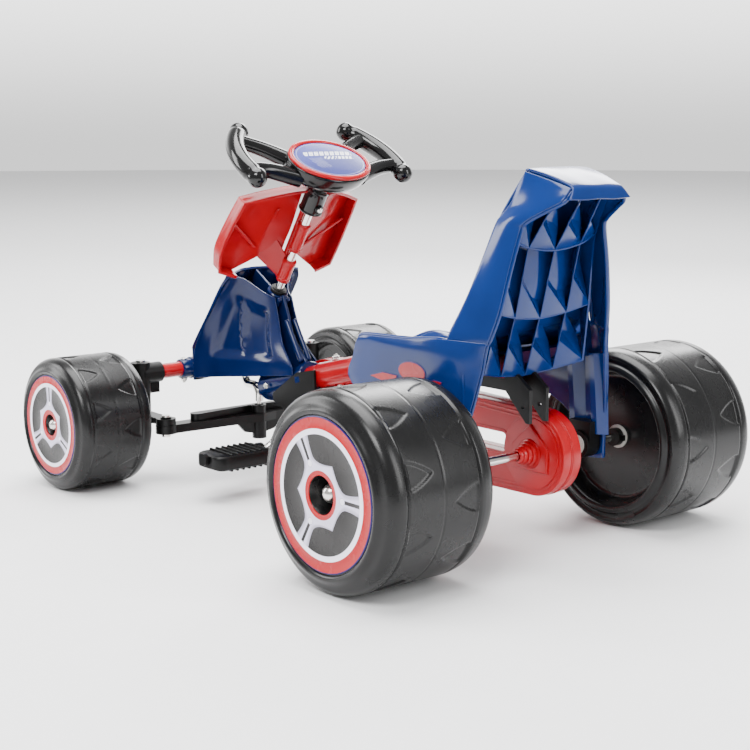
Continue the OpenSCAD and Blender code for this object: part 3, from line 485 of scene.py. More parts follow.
@dataclass(frozen=True)
class BadgePrint(Finish):
    """The oval badge: violet blue with plain slanted bars and speed lines."""

    centre: tuple[float, float, float] = (0.0, 0.0, 0.0)
    forward: tuple[float, float, float] = (1.0, 0.0, 0.0)
    white: Colour = (0.86, 0.86, 0.92)

    def fill(self, graph: Graph) -> None:
        """Adds the badge's nodes."""
        point = graph.place()
        x, y, z = graph.split(point)
        up = (x - self.centre[0]) * self.forward[0] + (z - self.centre[2]) * self.forward[2]
        across = 0.0 - y
        slant = across - up * 0.45
        long_step = graph.math("FLOORED_MODULO", slant, 0.0102) - 0.0051
        short_step = graph.math("FLOORED_MODULO", slant, 0.0072) - 0.0036
        row = graph.math("FLOORED_MODULO", up, 0.0046) - 0.0023
        upper = long_step.inside(0.0040, 0.0004) * (across - 0.002).inside(0.046, 0.0004)
        upper = upper * (up - 0.0130).inside(0.0052, 0.0003)
        upper = upper * (1.0 - row.inside(0.0006, 0.0003) * long_step.inside(0.0022, 0.0003))
        lower = short_step.inside(0.0026, 0.0003) * (across - 0.0285).inside(0.0165, 0.0003)
        lower = lower * (up - 0.0015).inside(0.0036, 0.0003)
        lean_step = graph.math("FLOORED_MODULO", slant - up * 0.5, 0.0074) - 0.0037
        slash = lean_step.inside(0.0022, 0.0003) * (across + 0.0005).inside(0.0105, 0.0003)
        slash = slash * (up - 0.0015).inside(0.0036, 0.0003)
        fine_step = graph.math("FLOORED_MODULO", slant + up * 1.3, 0.0052) - 0.0026
        sketch = fine_step.inside(0.0005, 0.0003) * (across + 0.029 + up * 0.3).inside(0.012, 0.0003)
        sketch = sketch * (up + 0.0105).inside(0.0125, 0.0003)
        mark = graph.math("MAXIMUM", graph.math("MAXIMUM", upper, lower), slash)
        mark = graph.math("MAXIMUM", mark, sketch * 0.6)
        cloud = graph.noise(point, 30.0, 2.0)
        light = tuple(min(1.0, c * 1.35) for c in self.colour)
        base = graph.mix(self.colour, light, (up * 14.0 + cloud).rise(0.2, 0.6))
        ring = graph.math("SQRT", (across * across) / 0.0036 + (up * up) / 0.00178)
        outline = (ring - 1.0).inside(0.012, 0.008)
        base = graph.mix(base, self.white, mark)
        base = graph.mix(base, (0.55, 0.56, 0.85), outline * 0.6)
        dots = graph.noise(point, 2600.0, 1.0)
        graph.surface(
            {"Specular IOR Level": 0.4},
            {
                "Base Color": base,
                "Roughness": 0.28 + (dots - 0.5) * 0.08,
                "Normal": graph.bump(dots, 6e-6),
            },
        )


SEAT_BLUE = Moulded("seat_blue", (0.0010, 0.020, 0.125), 0.15, mottle=0.12, rub=0.1, shine=0.35)
COWL_BLUE = Moulded("cowl_blue", (0.0008, 0.009, 0.064), 0.17, mottle=0.15, rub=0.08, shine=0.35)
RED_PLASTIC = Moulded("red_plastic", (0.38, 0.0012, 0.006), 0.18, mottle=0.1, rub=0.06, shine=0.3)
RED_ENAMEL = Enamel("red_enamel", (0.36, 0.0012, 0.006), 0.2)
WHEEL_BLACK = Moulded(
    "wheel_black", (0.005, 0.005, 0.0052), 0.27, grain=9e-6, cells=1100.0, mottle=0.3, rub=0.05, shine=0.3
)
GRIP_BLACK = Moulded("grip_black", (0.004, 0.004, 0.0042), 0.13, mottle=0.3, rub=0.03, shine=0.4)
PART_BLACK = Moulded(
    "part_black", (0.003, 0.003, 0.0031), 0.34, grain=1.4e-5, cells=900.0, mottle=0.3, rub=0.05, shine=0.2
)
NYLON = Moulded("nylon", (0.42, 0.41, 0.38), 0.45, grain=3e-5, mottle=0.15, rub=0.2)
ZINC = Plated("zinc", (0.72, 0.70, 0.66), 0.24)
BRIGHT_ROD = Plated("bright_rod", (0.78, 0.77, 0.74), 0.13, (500.0, 9.0, 500.0), 4e-6, 0.16)
COLUMN_ROD = Plated("column_rod", (0.78, 0.77, 0.74), 0.12, (500.0, 500.0, 9.0), 4e-6, 0.14)


# ---- Workshop ----


def make_object(name: str, points: Sequence[Point], faces: Sequence[Sequence[int]]) -> bpy.types.Object:
    """Makes a mesh object.

    Args:
        name: The object's name.
        points: Its corners, in mm in the kart's frame.
        faces: Corner numbers of each face.

    Returns:
        The object, linked to the scene.
    """
    mesh = bpy.data.meshes.new(name)
    mesh.from_pydata([tuple(c * MM for c in p) for p in points], [], [list(f) for f in faces])
    mesh.update()
    made = bpy.data.objects.new(name, mesh)
    bpy.context.scene.collection.objects.link(made)
    return made


def bake(piece: bpy.types.Object) -> bpy.types.Object:
    """Turns a piece and its modifiers into a plain mesh."""
    graph = bpy.context.evaluated_depsgraph_get()
    mesh = bpy.data.meshes.new_from_object(piece.evaluated_get(graph))
    piece.modifiers.clear()
    old, piece.data = piece.data, mesh
    bpy.data.meshes.remove(old)
    mesh.name = piece.name
    return piece


def point_out(piece: bpy.types.Object, merge: float = 1e-6) -> None:
    """Merges a closed mesh's doubles and turns its faces outwards."""
    work = bmesh.new()
    work.from_mesh(piece.data)
    bmesh.ops.remove_doubles(work, verts=work.verts, dist=merge)
    bmesh.ops.recalc_face_normals(work, faces=work.faces)
    work.to_mesh(piece.data)
    work.free()


def shade(piece: bpy.types.Object, degrees: float = 35.0) -> None:
    """Shades a piece smooth, but for edges sharper than the angle."""
    piece.data.shade_smooth()
    piece.data.set_sharp_from_angle(angle=math.radians(degrees))


def thicken(piece: bpy.types.Object, wall: float, side: float = -1.0, even: bool = True) -> None:
    """Gives an open sheet a wall, in mm, on one side of it; even keeps it as thick at its folds."""
    solid = piece.modifiers.new("wall", "SOLIDIFY")
    solid.thickness, solid.offset = wall * MM, side
    solid.use_even_offset = even
    solid.use_quality_normals = True


def soften(piece: bpy.types.Object, width: float, steps: int = 3, degrees: float = 28.0) -> None:
    """Rounds a piece's edges by width in mm."""
    round_over = piece.modifiers.new("edges", "BEVEL")
    round_over.width, round_over.segments = width * MM, steps
    round_over.limit_method, round_over.angle_limit = "ANGLE", math.radians(degrees)
    round_over.miter_outer = "MITER_ARC"
    round_over.use_clamp_overlap = True


def join(name: str, parts: Sequence[bpy.types.Object]) -> bpy.types.Object:
    """Joins mesh objects into one new mesh object.

    Args:
        name: The new object's name.
        parts: What is joined; they are removed.

    Returns:
        The joined object.
    """
    work = bmesh.new()
    for part in parts:
        work.from_mesh(part.data)
    mesh = bpy.data.meshes.new(name)
    work.to_mesh(mesh)
    work.free()
    for part in parts:
        old = part.data
        bpy.data.objects.remove(part)
        bpy.data.meshes.remove(old)
    made = bpy.data.objects.new(name, mesh)
    bpy.context.scene.collection.objects.link(made)
    return made


def dress(
    piece: bpy.types.Object,
    finish: Finish,
    body: str,
    replaces: Sequence[str] = (),
    degrees: float = 35.0,
) -> bpy.types.Object:
    """Finishes a piece: its material, shading and body.

    Args:
        piece: A plain mesh object.
        finish: Its finish.
        body: The CAD body it rides on.
        replaces: CAD nodes it stands for.
        degrees: Edges sharper than this stay sharp.

    Returns:
        The piece.
    """
    piece.data.materials.clear()
    piece.data.materials.append(finish.material())
    for polygon in piece.data.polygons:
        polygon.material_index = 0
    shade(piece, degrees)
    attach(piece, body)
    if replaces:
        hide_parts(*replaces)
    LOG.info("%s: %d faces on %s", piece.name, len(piece.data.polygons), body)
    return piece


def spline(points: Sequence[Point], steps: int) -> list[Vector]:
    """A smooth run through points.

    Args:
        points: Where it passes.
        steps: New points for each span.

    Returns:
        The run, its ends included.
    """
    knots = [Vector(p) for p in points]
    knots = [knots[0] * 2 - knots[1], *knots, knots[-1] * 2 - knots[-2]]
    run: list[Vector] = []
    for i in range(1, len(knots) - 2):
        a, b, c, d = knots[i - 1 : i + 3]
        for k in range(steps):
            t = k / steps
            run.append(
                0.5
                * (
                    2 * b
                    + (c - a) * t
                    + (2 * a - 5 * b + 4 * c - d) * t * t
                    + (3 * b - a - 3 * c + d) * t**3
                )
            )
    run.append(knots[-2])
    return run


def straight(points: Sequence[Point], steps: int) -> list[Vector]:
    """The same as spline(), with straight spans."""
    knots = [Vector(p) for p in points]
    run = [a.lerp(b, k / steps) for a, b in zip(knots, knots[1:]) for k in range(steps)]
    return [*run, knots[-1]]


def patch(
    rows: Sequence[Sequence[Point]],
    down: int = 1,
    across: int = 4,
    down_run: Callable[[Sequence[Point], int], list[Vector]] = straight,
    across_run: Callable[[Sequence[Point], int], list[Vector]] = spline,
) -> tuple[list[Vector], list[tuple[int, ...]]]:
    """A four-sided sheet through rows of points.

    Args:
        rows: The rows, all as long as each other.
        down: Steps between rows.
        across: Steps between the points of a row.
        down_run: How it runs from row to row.
        across_run: How it runs along a row.

    Returns:
        Its corners and faces.
    """
    fine = [across_run(row, across) for row in rows]
    columns = [down_run([row[i] for row in fine], down) for i in range(len(fine[0]))]
    count = len(columns[0])
    points = [p for column in columns for p in column]
    faces = [
        (i * count + j, i * count + j + 1, (i + 1) * count + j + 1, (i + 1) * count + j)
        for i in range(len(columns) - 1)
        for j in range(count - 1)
    ]
    return points, faces


def lathe(profile: Sequence[tuple[float, float]], turns: int) -> tuple[list[Vector], list[tuple[int, ...]]]:
    """Turns a closed half section round the Z axis.

    Args:
        profile: (radius, height) of a closed loop.
        turns: Steps round the axis.

    Returns:
        Corners and faces of a closed ring.
    """
    count = len(profile)
    points = [
        Vector((r * math.cos(a), r * math.sin(a), h))
        for a in (2 * math.pi * k / turns for k in range(turns))
        for r, h in profile
    ]
    faces = [
        (
            k * count + i,
            (k + 1) % turns * count + i,
            (k + 1) % turns * count + (i + 1) % count,
            k * count + (i + 1) % count,
        )
        for k in range(turns)
        for i in range(count)
    ]
    return points, faces


def placed(points: Sequence[Point], matrix: Matrix) -> list[Vector]:
    """Points, in mm, through a matrix."""
    return [matrix @ Vector(p) for p in points]


def mirrored(points: Sequence[Point]) -> list[Vector]:
    """Points on the other side of the middle plane."""
    return [Vector((p[0], -p[1], p[2])) for p in points]


# ---- Geometry node trees ----


class Tool:
    """A geometry node tree that makes one kind of repeated or swept shape."""

    def __init__(self, name: str, sizes: dict[str, str]) -> None:
        """Starts a tree with its inputs.

        Args:
            name: The tree's name.
            sizes: Socket types by input name.
        """
        self.tree = bpy.data.node_groups.new(name, "GeometryNodeTree")
        self.graph = Graph(self.tree)
        face = self.tree.interface
        face.new_socket("Geometry", in_out="INPUT", socket_type="NodeSocketGeometry")
        self.sockets = {
            size: face.new_socket(size, in_out="INPUT", socket_type=kind)
            for size, kind in {**sizes, "Material": "NodeSocketMaterial"}.items()
        }
        face.new_socket("Geometry", in_out="OUTPUT", socket_type="NodeSocketGeometry")
        self.start = self.graph.add("NodeGroupInput")

    def given(self, name: str) -> bpy.types.NodeSocket:
        """The socket of one of the tree's inputs."""
        return self.start.outputs[name]

    def finish(self, geometry: bpy.types.NodeSocket) -> None:
        """Ends the tree in Realize Instances and Set Material."""
        real = self.graph.add("GeometryNodeRealizeInstances", inputs={"Geometry": geometry})
        dressed = self.graph.add(
            "GeometryNodeSetMaterial",
            inputs={"Geometry": real.outputs[0], "Material": self.given("Material")},
        )
        self.graph.add("NodeGroupOutput", inputs={0: dressed.outputs[0]})

    def run(self, piece: bpy.types.Object, finish: Finish, **sizes: Any) -> bpy.types.Object:
        """Runs the tree on a piece and keeps the result as its plain mesh.

        Args:
            piece: What the tree starts from.
            finish: The material it sets.
            sizes: Values of its inputs, by name.

        Returns:
            The piece.
        """
        modifier = piece.modifiers.new(self.tree.name, "NODES")
        modifier.node_group = self.tree
        for name, value in {**sizes, "Material": finish.material()}.items():
            modifier[self.sockets[name].identifier] = value
        return bake(piece)


class RingTool(Tool):
    """Repeats a sector of a ring round the Z axis and welds the sectors."""

    def __init__(self) -> None:
        """Builds the tree."""
        super().__init__("ring_of_sectors", {"Count": "NodeSocketInt", "Weld": "NodeSocketFloat"})
        graph = self.graph
        points = graph.add("GeometryNodePoints", inputs={"Count": self.given("Count")})
        index = graph.out(graph.add("GeometryNodeInputIndex"))
        count = Val(graph, self.given("Count"))
        turn = index * (2.0 * math.pi) / count
        euler = graph.add("ShaderNodeCombineXYZ", inputs={2: turn})
        spread = graph.add(
            "GeometryNodeInstanceOnPoints",
            inputs={
                "Points": points.outputs[0],
                "Instance": self.given("Geometry"),
                "Rotation": euler.outputs[0],
            },
        )
        real = graph.add("GeometryNodeRealizeInstances", inputs={"Geometry": spread.outputs[0]})
        weld = graph.add(
            "GeometryNodeMergeByDistance",
            inputs={"Geometry": real.outputs[0], "Distance": self.given("Weld")},
        )
        self.finish(weld.outputs[0])


class RodTool(Tool):
    """Sweeps a round bar along a line of points, with rounded bends."""

    def __init__(self) -> None:
        """Builds the tree."""
        super().__init__(
            "bent_bar",
            {"Radius": "NodeSocketFloat", "Bend": "NodeSocketFloat", "Facets": "NodeSocketInt"},
        )
        graph = self.graph
        line = graph.add("GeometryNodeMeshToCurve", inputs={"Mesh": self.given("Geometry")})
        bent = graph.add(
            "GeometryNodeFilletCurve",
            {"mode": "POLY"},
            {
                "Curve": line.outputs[0],
                "Count": 12,
                "Radius": self.given("Bend"),
                "Limit Radius": True,
            },
        )
        ring = graph.add(
            "GeometryNodeCurvePrimitiveCircle",
            {"mode": "RADIUS"},
            {"Resolution": self.given("Facets"), "Radius": self.given("Radius")},
        )
        swept = graph.add(
            "GeometryNodeCurveToMesh",
            inputs={
                "Curve": bent.outputs[0],
                "Profile Curve": ring.outputs[0],
                "Fill Caps": True,
            },
        )
        self.finish(swept.outputs[0])


class FastenerTool(Tool):
    """Puts one fastener at each point, turned by the point's own rotation."""

    def __init__(self) -> None:
        """Builds the tree."""
        super().__init__("fasteners", {"Fastener": "NodeSocketObject"})
        graph = self.graph
        shape = graph.add("GeometryNodeObjectInfo", inputs={"Object": self.given("Fastener")})
        turn = graph.add(
            "GeometryNodeInputNamedAttribute",
            {"data_type": "FLOAT_VECTOR"},
            {"Name": "facing"},
        )
        aligned = graph.add(
            "FunctionNodeAlignRotationToVector", {"axis": "Z"}, {"Vector": turn.outputs[0]}
        )
        spread = graph.add(
            "GeometryNodeInstanceOnPoints",
            inputs={
                "Points": self.given("Geometry"),
                "Instance": shape.outputs["Geometry"],
                "Rotation": aligned.outputs[0],
            },
        )
        self.finish(spread.outputs[0])


@dataclass
class Workshop:
    """The geometry tools, made once."""

    ring: RingTool = field(default_factory=RingTool)
    rod: RodTool = field(default_factory=RodTool)
    fastener: FastenerTool = field(default_factory=FastenerTool)

    def bar(
        self, name: str, path: Sequence[Point], width: float, bend: float, finish: Finish, facets: int = 32
    ) -> bpy.types.Object:
        """Sweeps a bar.

        Args:
            name: The piece's name.
            path: Its corners, in mm.
            width: Its diameter, in mm.
            bend: The radius of its bends, in mm.
            finish: Its finish.
            facets: Steps round it.

        Returns:
            The bar.
        """
        mesh = bpy.data.meshes.new(name)
        points = [tuple(c * MM for c in p) for p in path]
        mesh.from_pydata(points, [(i, i + 1) for i in range(len(points) - 1)], [])
        piece = bpy.data.objects.new(name, mesh)
        bpy.context.scene.collection.objects.link(piece)
        self.rod.run(piece, finish, Radius=width * MM / 2, Bend=bend * MM, Facets=facets)
        point_out(piece)
        return piece

    def fasten(
        self, name: str, shape: bpy.types.Object, spots: Sequence[tuple[Point, Point]], finish: Finish
    ) -> bpy.types.Object:
        """Copies a fastener to several spots.

        Args:
            name: The piece's name.
            shape: The fastener, drawn along +Z from its origin; the caller removes it.
            spots: (place in mm, direction) of each.
            finish: Their finish.

        Returns:
            One piece that holds them all.
        """
        piece = make_object(name, [p for p, _ in spots], [])
        facing = piece.data.attributes.new("facing", "FLOAT_VECTOR", "POINT")
        facing.data.foreach_set("vector", [c for _, d in spots for c in Vector(d).normalized()])
        self.fastener.run(piece, finish, Fastener=shape)
        return piece


class FastenerShop:
    """Shapes of the nuts and screws."""

    def turned(self, name: str, profile: Sequence[tuple[float, float]], sides: int) -> bpy.types.Object:
        """A solid turned from a half section that starts and ends on the axis.

        Args:
            name: The object's name.
            profile: (radius, height) from the bottom up; the ends are on the axis.
            sides: Steps round it.

        Returns:
            The object.
        """
        count = len(profile) - 2
        points = [Vector((0, 0, profile[0][1])), Vector((0, 0, profile[-1][1]))]
        for k in range(sides):
            a = 2 * math.pi * k / sides
            points += [Vector((r * math.cos(a), r * math.sin(a), h)) for r, h in profile[1:-1]]
        faces: list[tuple[int, ...]] = []
        for k in range(sides):
            here, there = 2 + k * count, 2 + (k + 1) % sides * count
            faces.append((0, there, here))
            faces.append((1, here + count - 1, there + count - 1))
            faces += [
                (here + i, there + i, there + i + 1, here + i + 1) for i in range(count - 1)
            ]
        return make_object(name, points, faces)

    def hex_nut(self, across: float, height: float, washer: float, thread: float) -> bpy.types.Object:
        """A lock nut on a washer, with its thread's end showing."""
        flat = self.turned(
            "nut_washer",
            [(0, 0), (washer - 0.4, 0), (washer, 0.4), (washer, 1.2), (washer - 0.4, 1.6), (0, 1.6)],
            32,
        )
        corner = across / math.sqrt(3)
        body = self.turned(
            "nut_body",
            [
                (0, 1.5),
                (corner * 0.93, 1.6),
                (corner, 2.2),
                (corner, height - 0.8),
                (corner * 0.9, height),
                (thread * 1.25, height),
                (thread * 1.2, height + 1.2),
                (thread * 1.05, height + 1.6),
                (0, height + 1.6),
            ],
            6,
        )
        stud = self.turned(
            "nut_stud",
            [
                (0, height), (thread, height), (thread, height + 2.2), (thread - 0.7, height + 3),
                (0, height + 3),
            ],
            24,
        )
        return join("hex_nut", [flat, body, stud])

    def cap_nut(self, radius: float) -> bpy.types.Object:
        """A domed push-on cap over a flat flange."""
        dome = [
            (radius * 0.8 * math.cos(a), 5.0 + radius * 1.05 * math.sin(a))
            for a in (math.radians(8 * k) for k in range(11))
        ]
        return self.turned(
            "cap_nut",
            [(0, 0), (radius - 0.5, 0), (radius, 0.5), (radius, 1.2), (radius - 0.5, 1.6),
             (radius * 0.8, 1.6), *dome, (0, 5.0 + radius * 1.05)],
            40,
        )  # fmt: skip

    def cross_screw(self, radius: float) -> bpy.types.Object:
        """A pan head screw with a crossed recess drawn as four quadrant lands."""
        head = self.turned(
            "screw_head",
            [(0, 0), (radius, 0), (radius, 0.9), (radius * 0.93, 1.7), (radius * 0.75, 2.3), (0, 2.3)],
            32,
        )
        lands = []
        for k in range(4):
            a = math.pi / 4 + k * math.pi / 2
            outline = [(0, 2.2), (radius * 0.3, 2.2), (radius * 0.26, 2.9), (0, 2.9)]
            land = self.turned(f"land_{k}", outline, 8)
            land.data.transform(
                Matrix.Translation((math.cos(a) * radius * 0.38 * MM, math.sin(a) * radius * 0.38 * MM, 0))
            )
            lands.append(land)
        return join("cross_screw", [head, *lands])


def loft(name: str, rings: Sequence[Sequence[Point]]) -> bpy.types.Object:
    """Makes a closed solid through rings of points.

    Args:
        name: The object's name.
        rings: Rings with the same number of points; the first and last are capped.

    Returns:
        The object, faces outwards.
    """
    count = len(rings[0])
    points = [p for ring in rings for p in ring]
    faces: list[tuple[int, ...]] = [
        (i * count + k, i * count + (k + 1) % count, (i + 1) * count + (k + 1) % count, (i + 1) * count + k)
        for i in range(len(rings) - 1)
        for k in range(count)
    ]
    faces.append(tuple(range(count - 1, -1, -1)))
    faces.append(tuple(range((len(rings) - 1) * count, len(rings) * count)))
    made = make_object(name, points, faces)
    point_out(made)
    return made


def tube(
    name: str, path: Sequence[Point], radii: Sequence[float], facets: int = 32, flat: float = 1.0
) -> bpy.types.Object:
    """Makes a solid bar whose thickness changes along a path.

    Args:
        name: The object's name.
        path: Points in mm.
        radii: Its radius at each of them, in mm.
        facets: Steps round it.
        flat: Its height as a share of its width.

    Returns:
        The object.
    """
    run = [Vector(p) for p in path]
    rings = []
    whole = (run[-1] - run[0]).normalized()
    side = Vector((1, 0, 0)) if abs(whole.y) > 0.9 else Vector((0, 1, 0))
    for i, (spot, radius) in enumerate(zip(run, radii)):
        ahead = (run[min(i + 1, len(run) - 1)] - run[max(i - 1, 0)]).normalized()
        side = (side - ahead * side.dot(ahead)).normalized()
        up = ahead.cross(side)
        rings.append(
            [
                spot + side * radius * math.cos(a) + up * radius * flat * math.sin(a)
                for a in (2 * math.pi * k / facets for k in range(facets))
            ]
        )
    return loft(name, rings)


def capsule(start: Point, end: Point, radius: float, steps: int = 8) -> tuple[list[Vector], list[float]]:
    """The path and radii of a bar with round ends."""
    a, b = Vector(start), Vector(end)
    way = (b - a).normalized()
    turn = [math.pi / 2 * k / steps for k in range(1, steps + 1)]
    path = [a - way * radius * math.cos(t) for t in turn]
    path += [b + way * radius * math.cos(t) for t in turn[::-1]]
    radii = [radius * math.sin(t) for t in turn]
    return path, radii + radii[::-1]


def plate(
    name: str,
    loops: Sequence[Sequence[tuple[float, float]]],
    thick: float,
    edge: float,
) -> bpy.types.Object:
    """Makes a flat plate with rounded edges from closed outlines; inner outlines are holes.

    Args:
        name: The object's name.
        loops: Outlines in mm.
        thick: Its thickness, in mm, centred on Z = 0.
        edge: The radius of its edges, in mm.

    Returns:
        The object.
    """
    curve = bpy.data.curves.new(name, "CURVE")
    curve.dimensions, curve.fill_mode = "2D", "BOTH"
    curve.extrude, curve.bevel_depth = (thick / 2 - edge) * MM, edge * MM
    curve.bevel_resolution, curve.offset = 3, -edge * MM
    for loop in loops:
        run = curve.splines.new("POLY")
        run.points.add(len(loop) - 1)
        run.points.foreach_set("co", [c for x, y in loop for c in (x * MM, y * MM, 0.0, 1.0)])
        run.use_cyclic_u = True
    drawn = bpy.data.objects.new(name + "_outline", curve)
    bpy.context.scene.collection.objects.link(drawn)
    graph = bpy.context.evaluated_depsgraph_get()
    mesh = bpy.data.meshes.new_from_object(drawn.evaluated_get(graph))
    bpy.data.objects.remove(drawn)
    bpy.data.curves.remove(curve)
    made = bpy.data.objects.new(name, mesh)
    bpy.context.scene.collection.objects.link(made)
    point_out(made)
    return made


def in_side_view(y: float) -> Matrix:
    """Stands a plate drawn in X-Z up at the given Y, its front facing +Y."""
    return Matrix.Translation((0, y, 0)) @ Matrix(((1, 0, 0, 0), (0, 0, -1, 0), (0, 1, 0, 0), (0, 0, 0, 1)))


def move(piece: bpy.types.Object, matrix: Matrix) -> bpy.types.Object:
    """Moves a piece's mesh by a matrix whose lengths are in mm."""
    scaled = matrix.copy()
    scaled.translation = matrix.translation * MM
    piece.data.transform(scaled)
    if matrix.determinant() < 0:
        piece.data.flip_normals()
    return piece


# ---- The kart ----

REAR_X, REAR_Z = -343.0, 130.0
FRONT_X, FRONT_Z = 367.0, 106.0
COLUMN = Matrix.Translation((217.0, 0.0, 314.0)) @ Matrix.Rotation(math.radians(-32.9), 4, "Y")
CRANK_X, CRANK_Z, THROW, REST = 118.0, 134.0, 70.0, math.radians(20.0)


def column_point(x: float, y: float, rise: float) -> Vector:
    """A point given in the steering column's own frame."""
    return COLUMN @ Vector((x, y, rise))


@dataclass(frozen=True)
class WheelSize:
    """The sizes of one kind of wheel, in mm.

    Attributes:
        radius: Outer radius.
        width: Width over the tread.
        inner: Distance from the middle plane to the inner side.
        face: Radius of the outer lip.
        disc: Radius of the printed disc.
        hub: Radius of the hub recess.
        bush: Radius of the bush hole.
        pointed: How far a tread point reaches from its groove.
        print_rings: Radii where the print's rings start, in metres.
        turn: Angle of the first spoke.
    """

    radius: float
    width: float
    inner: float
    face: float
    disc: float
    hub: float
    bush: float
    pointed: float
    print_rings: tuple[float, float, float, float]
    turn: float


REAR_WHEEL = WheelSize(130, 182, 170, 107, 99, 24.5, 14, 43, (0.031, 0.076, 0.083, 0.097), math.pi / 3)
FRONT_WHEEL = WheelSize(106, 132, 215, 87, 80, 17, 11.5, 33, (0.0246, 0.061, 0.067, 0.078), math.pi / 2)


@dataclass
class Wheel:
    """A blown wheel with its tread, printed disc and cap nut."""

    shop: Workshop
    size: WheelSize
    name: str
    side: Side
    axle: tuple[float, float]
    body: str
    sectors: int = 10
    columns: int = 44

    def seat(self, rise: float = 0.0) -> Matrix:
        """Puts +Z out along the axle, from the wheel's inner side."""
        sign = self.side.value
        turn = Matrix.Rotation(-sign * math.pi / 2, 4, "X")
        y = sign * (self.size.inner + rise)
        return Matrix.Translation((self.axle[0], y, self.axle[1])) @ turn

    def tread_range(self) -> tuple[float, float]:
        """Where the round tread starts and ends across the wheel."""
        return self.size.width * 0.125, self.size.width * 0.86

    def profile(self) -> list[tuple[float, float]]:
        """The closed half section, as (radius, distance from the inner side)."""
        s = self.size
        r, w, dish = s.radius, s.width, s.width * 0.17
        start, end = self.tread_range()
        inner = [
            (s.bush, dish), (0.30 * r, dish), (0.60 * r, dish), (0.685 * r, dish * 0.97),
            (0.715 * r, dish * 0.80), (0.74 * r, dish * 0.36), (0.765 * r, dish * 0.08), (0.80 * r, 0.0),
            (0.835 * r, dish * 0.06), (0.862 * r, dish * 0.17), (0.893 * r, dish * 0.15),
            (0.93 * r, dish * 0.10), (0.962 * r, dish * 0.22), (0.985 * r, dish * 0.42), (r, start),
        ]  # fmt: skip
        outer = [
            (r, end), (0.992 * r, w * 0.895), (0.972 * r, w * 0.928), (0.94 * r, w * 0.952),
            (0.905 * r, w * 0.962), (0.872 * r, w * 0.972), (s.face + 1.5, w * 0.993), (s.face - 1.0, w),
            (s.disc + 4.2, w - 0.4), (s.disc + 2.2, w - 1.6),
        ]  # fmt: skip
        wall = 4.0
        smooth_in = [(p.x, p.y) for p in spline([(*q, 0) for q in inner], 4)]
        smooth_out = [(p.x, p.y) for p in spline([(*q, 0) for q in outer], 4)]
        steps = int((end - start) / 1.7)
        flat = [(r, start + (end - start) * k / steps) for k in range(1, steps)]
        hub = w * 0.82
        recess = [
            (s.disc + 1.0, w - 4.0), (s.hub + 1.0, w - 4.0), (s.hub, w - 5.0), (s.hub - 0.5, hub + 1.0),
            (s.hub - 1.5, hub), (s.bush, hub), (s.bush, hub - wall), (s.hub + wall, hub - wall),
            (s.hub + wall, w - 4 - wall), (s.disc + 2, w - 4 - wall), (s.face - 1, w - wall - 3),
            (0.93 * r - wall, w * 0.93 - wall), (r - wall - 2, w * 0.82), (r - wall - 2, dish + wall),
            (0.93 * r, dish * 0.4 + wall), (0.80 * r, wall + 2), (0.74 * r, dish + wall),
            (s.bush, dish + wall),
        ]  # fmt: skip
        return [*smooth_in, *flat, *smooth_out, *recess]

    def depth(self, turn: float, height: float) -> float:
        """How deep the tread is at a point, in mm.

        Args:
            turn: Angle within a sector, in radians.
            height: Distance from the inner side.

        Returns:
            The depth below the round surface.
        """
        s = self.size
        start, end = self.tread_range()
        shelf = s.width * 0.045
        low, high, middle = start + shelf, end - shelf, (start + end) / 2
        pitch = 2 * math.pi / self.sectors
        deepest = 0.0
        for groove, inward, shift in ((low, 1.0, 0.0), (high, -1.0, pitch / 2)):
            away = (height - groove) * inward
            around = abs((turn - shift + pitch / 2) % pitch - pitch / 2) * s.radius
            reach = away / s.pointed
            if -3.0 < away < s.pointed + 3.0:
                half = math.radians(8.5) * s.radius * (1 - max(0.0, min(1.0, reach)) ** 1.7)
                gap = min(half - around, away - 2.4)
                deepest = max(deepest, 2.0 * self.blend(gap / 2.2))
            deepest = max(deepest, 1.7 * self.blend((2.2 - abs(away)) / 1.9))
        return max(deepest, 0.6 * self.blend((1.2 - abs(height - middle)) / 1.2))

    @staticmethod
    def blend(share: float) -> float:
        """A smooth step from 0 to 1."""
        held = min(1.0, max(0.0, share))
        return held * held * (3 - 2 * held)

    def build_tyre(self) -> None:
        """Makes the black moulding."""
        profile = self.profile()
        start, end = self.tread_range()
        pitch = 2 * math.pi / self.sectors
        points = []
        for k in range(self.columns + 1):
            turn = pitch * k / self.columns
            for r, h in profile:
                on_tread = r > self.size.radius - 0.01 and start < h < end
                radius = r - self.depth(turn, h) if on_tread else r
                points.append((radius * math.cos(turn), radius * math.sin(turn), h))
        count = len(profile)
        faces = [
            (
                k * count + i,
                (k + 1) * count + i,
                (k + 1) * count + (i + 1) % count,
                k * count + (i + 1) % count,
            )
            for k in range(self.columns)
            for i in range(count)
        ]
        piece = make_object(self.name + "_moulding", points, faces)
        self.shop.ring.run(piece, WHEEL_BLACK, Count=self.sectors, Weld=2e-5)
        point_out(piece, 2e-5)
        move(piece, self.seat())
        dress(piece, WHEEL_BLACK, self.body, [self.name + "_wheel"], 50)

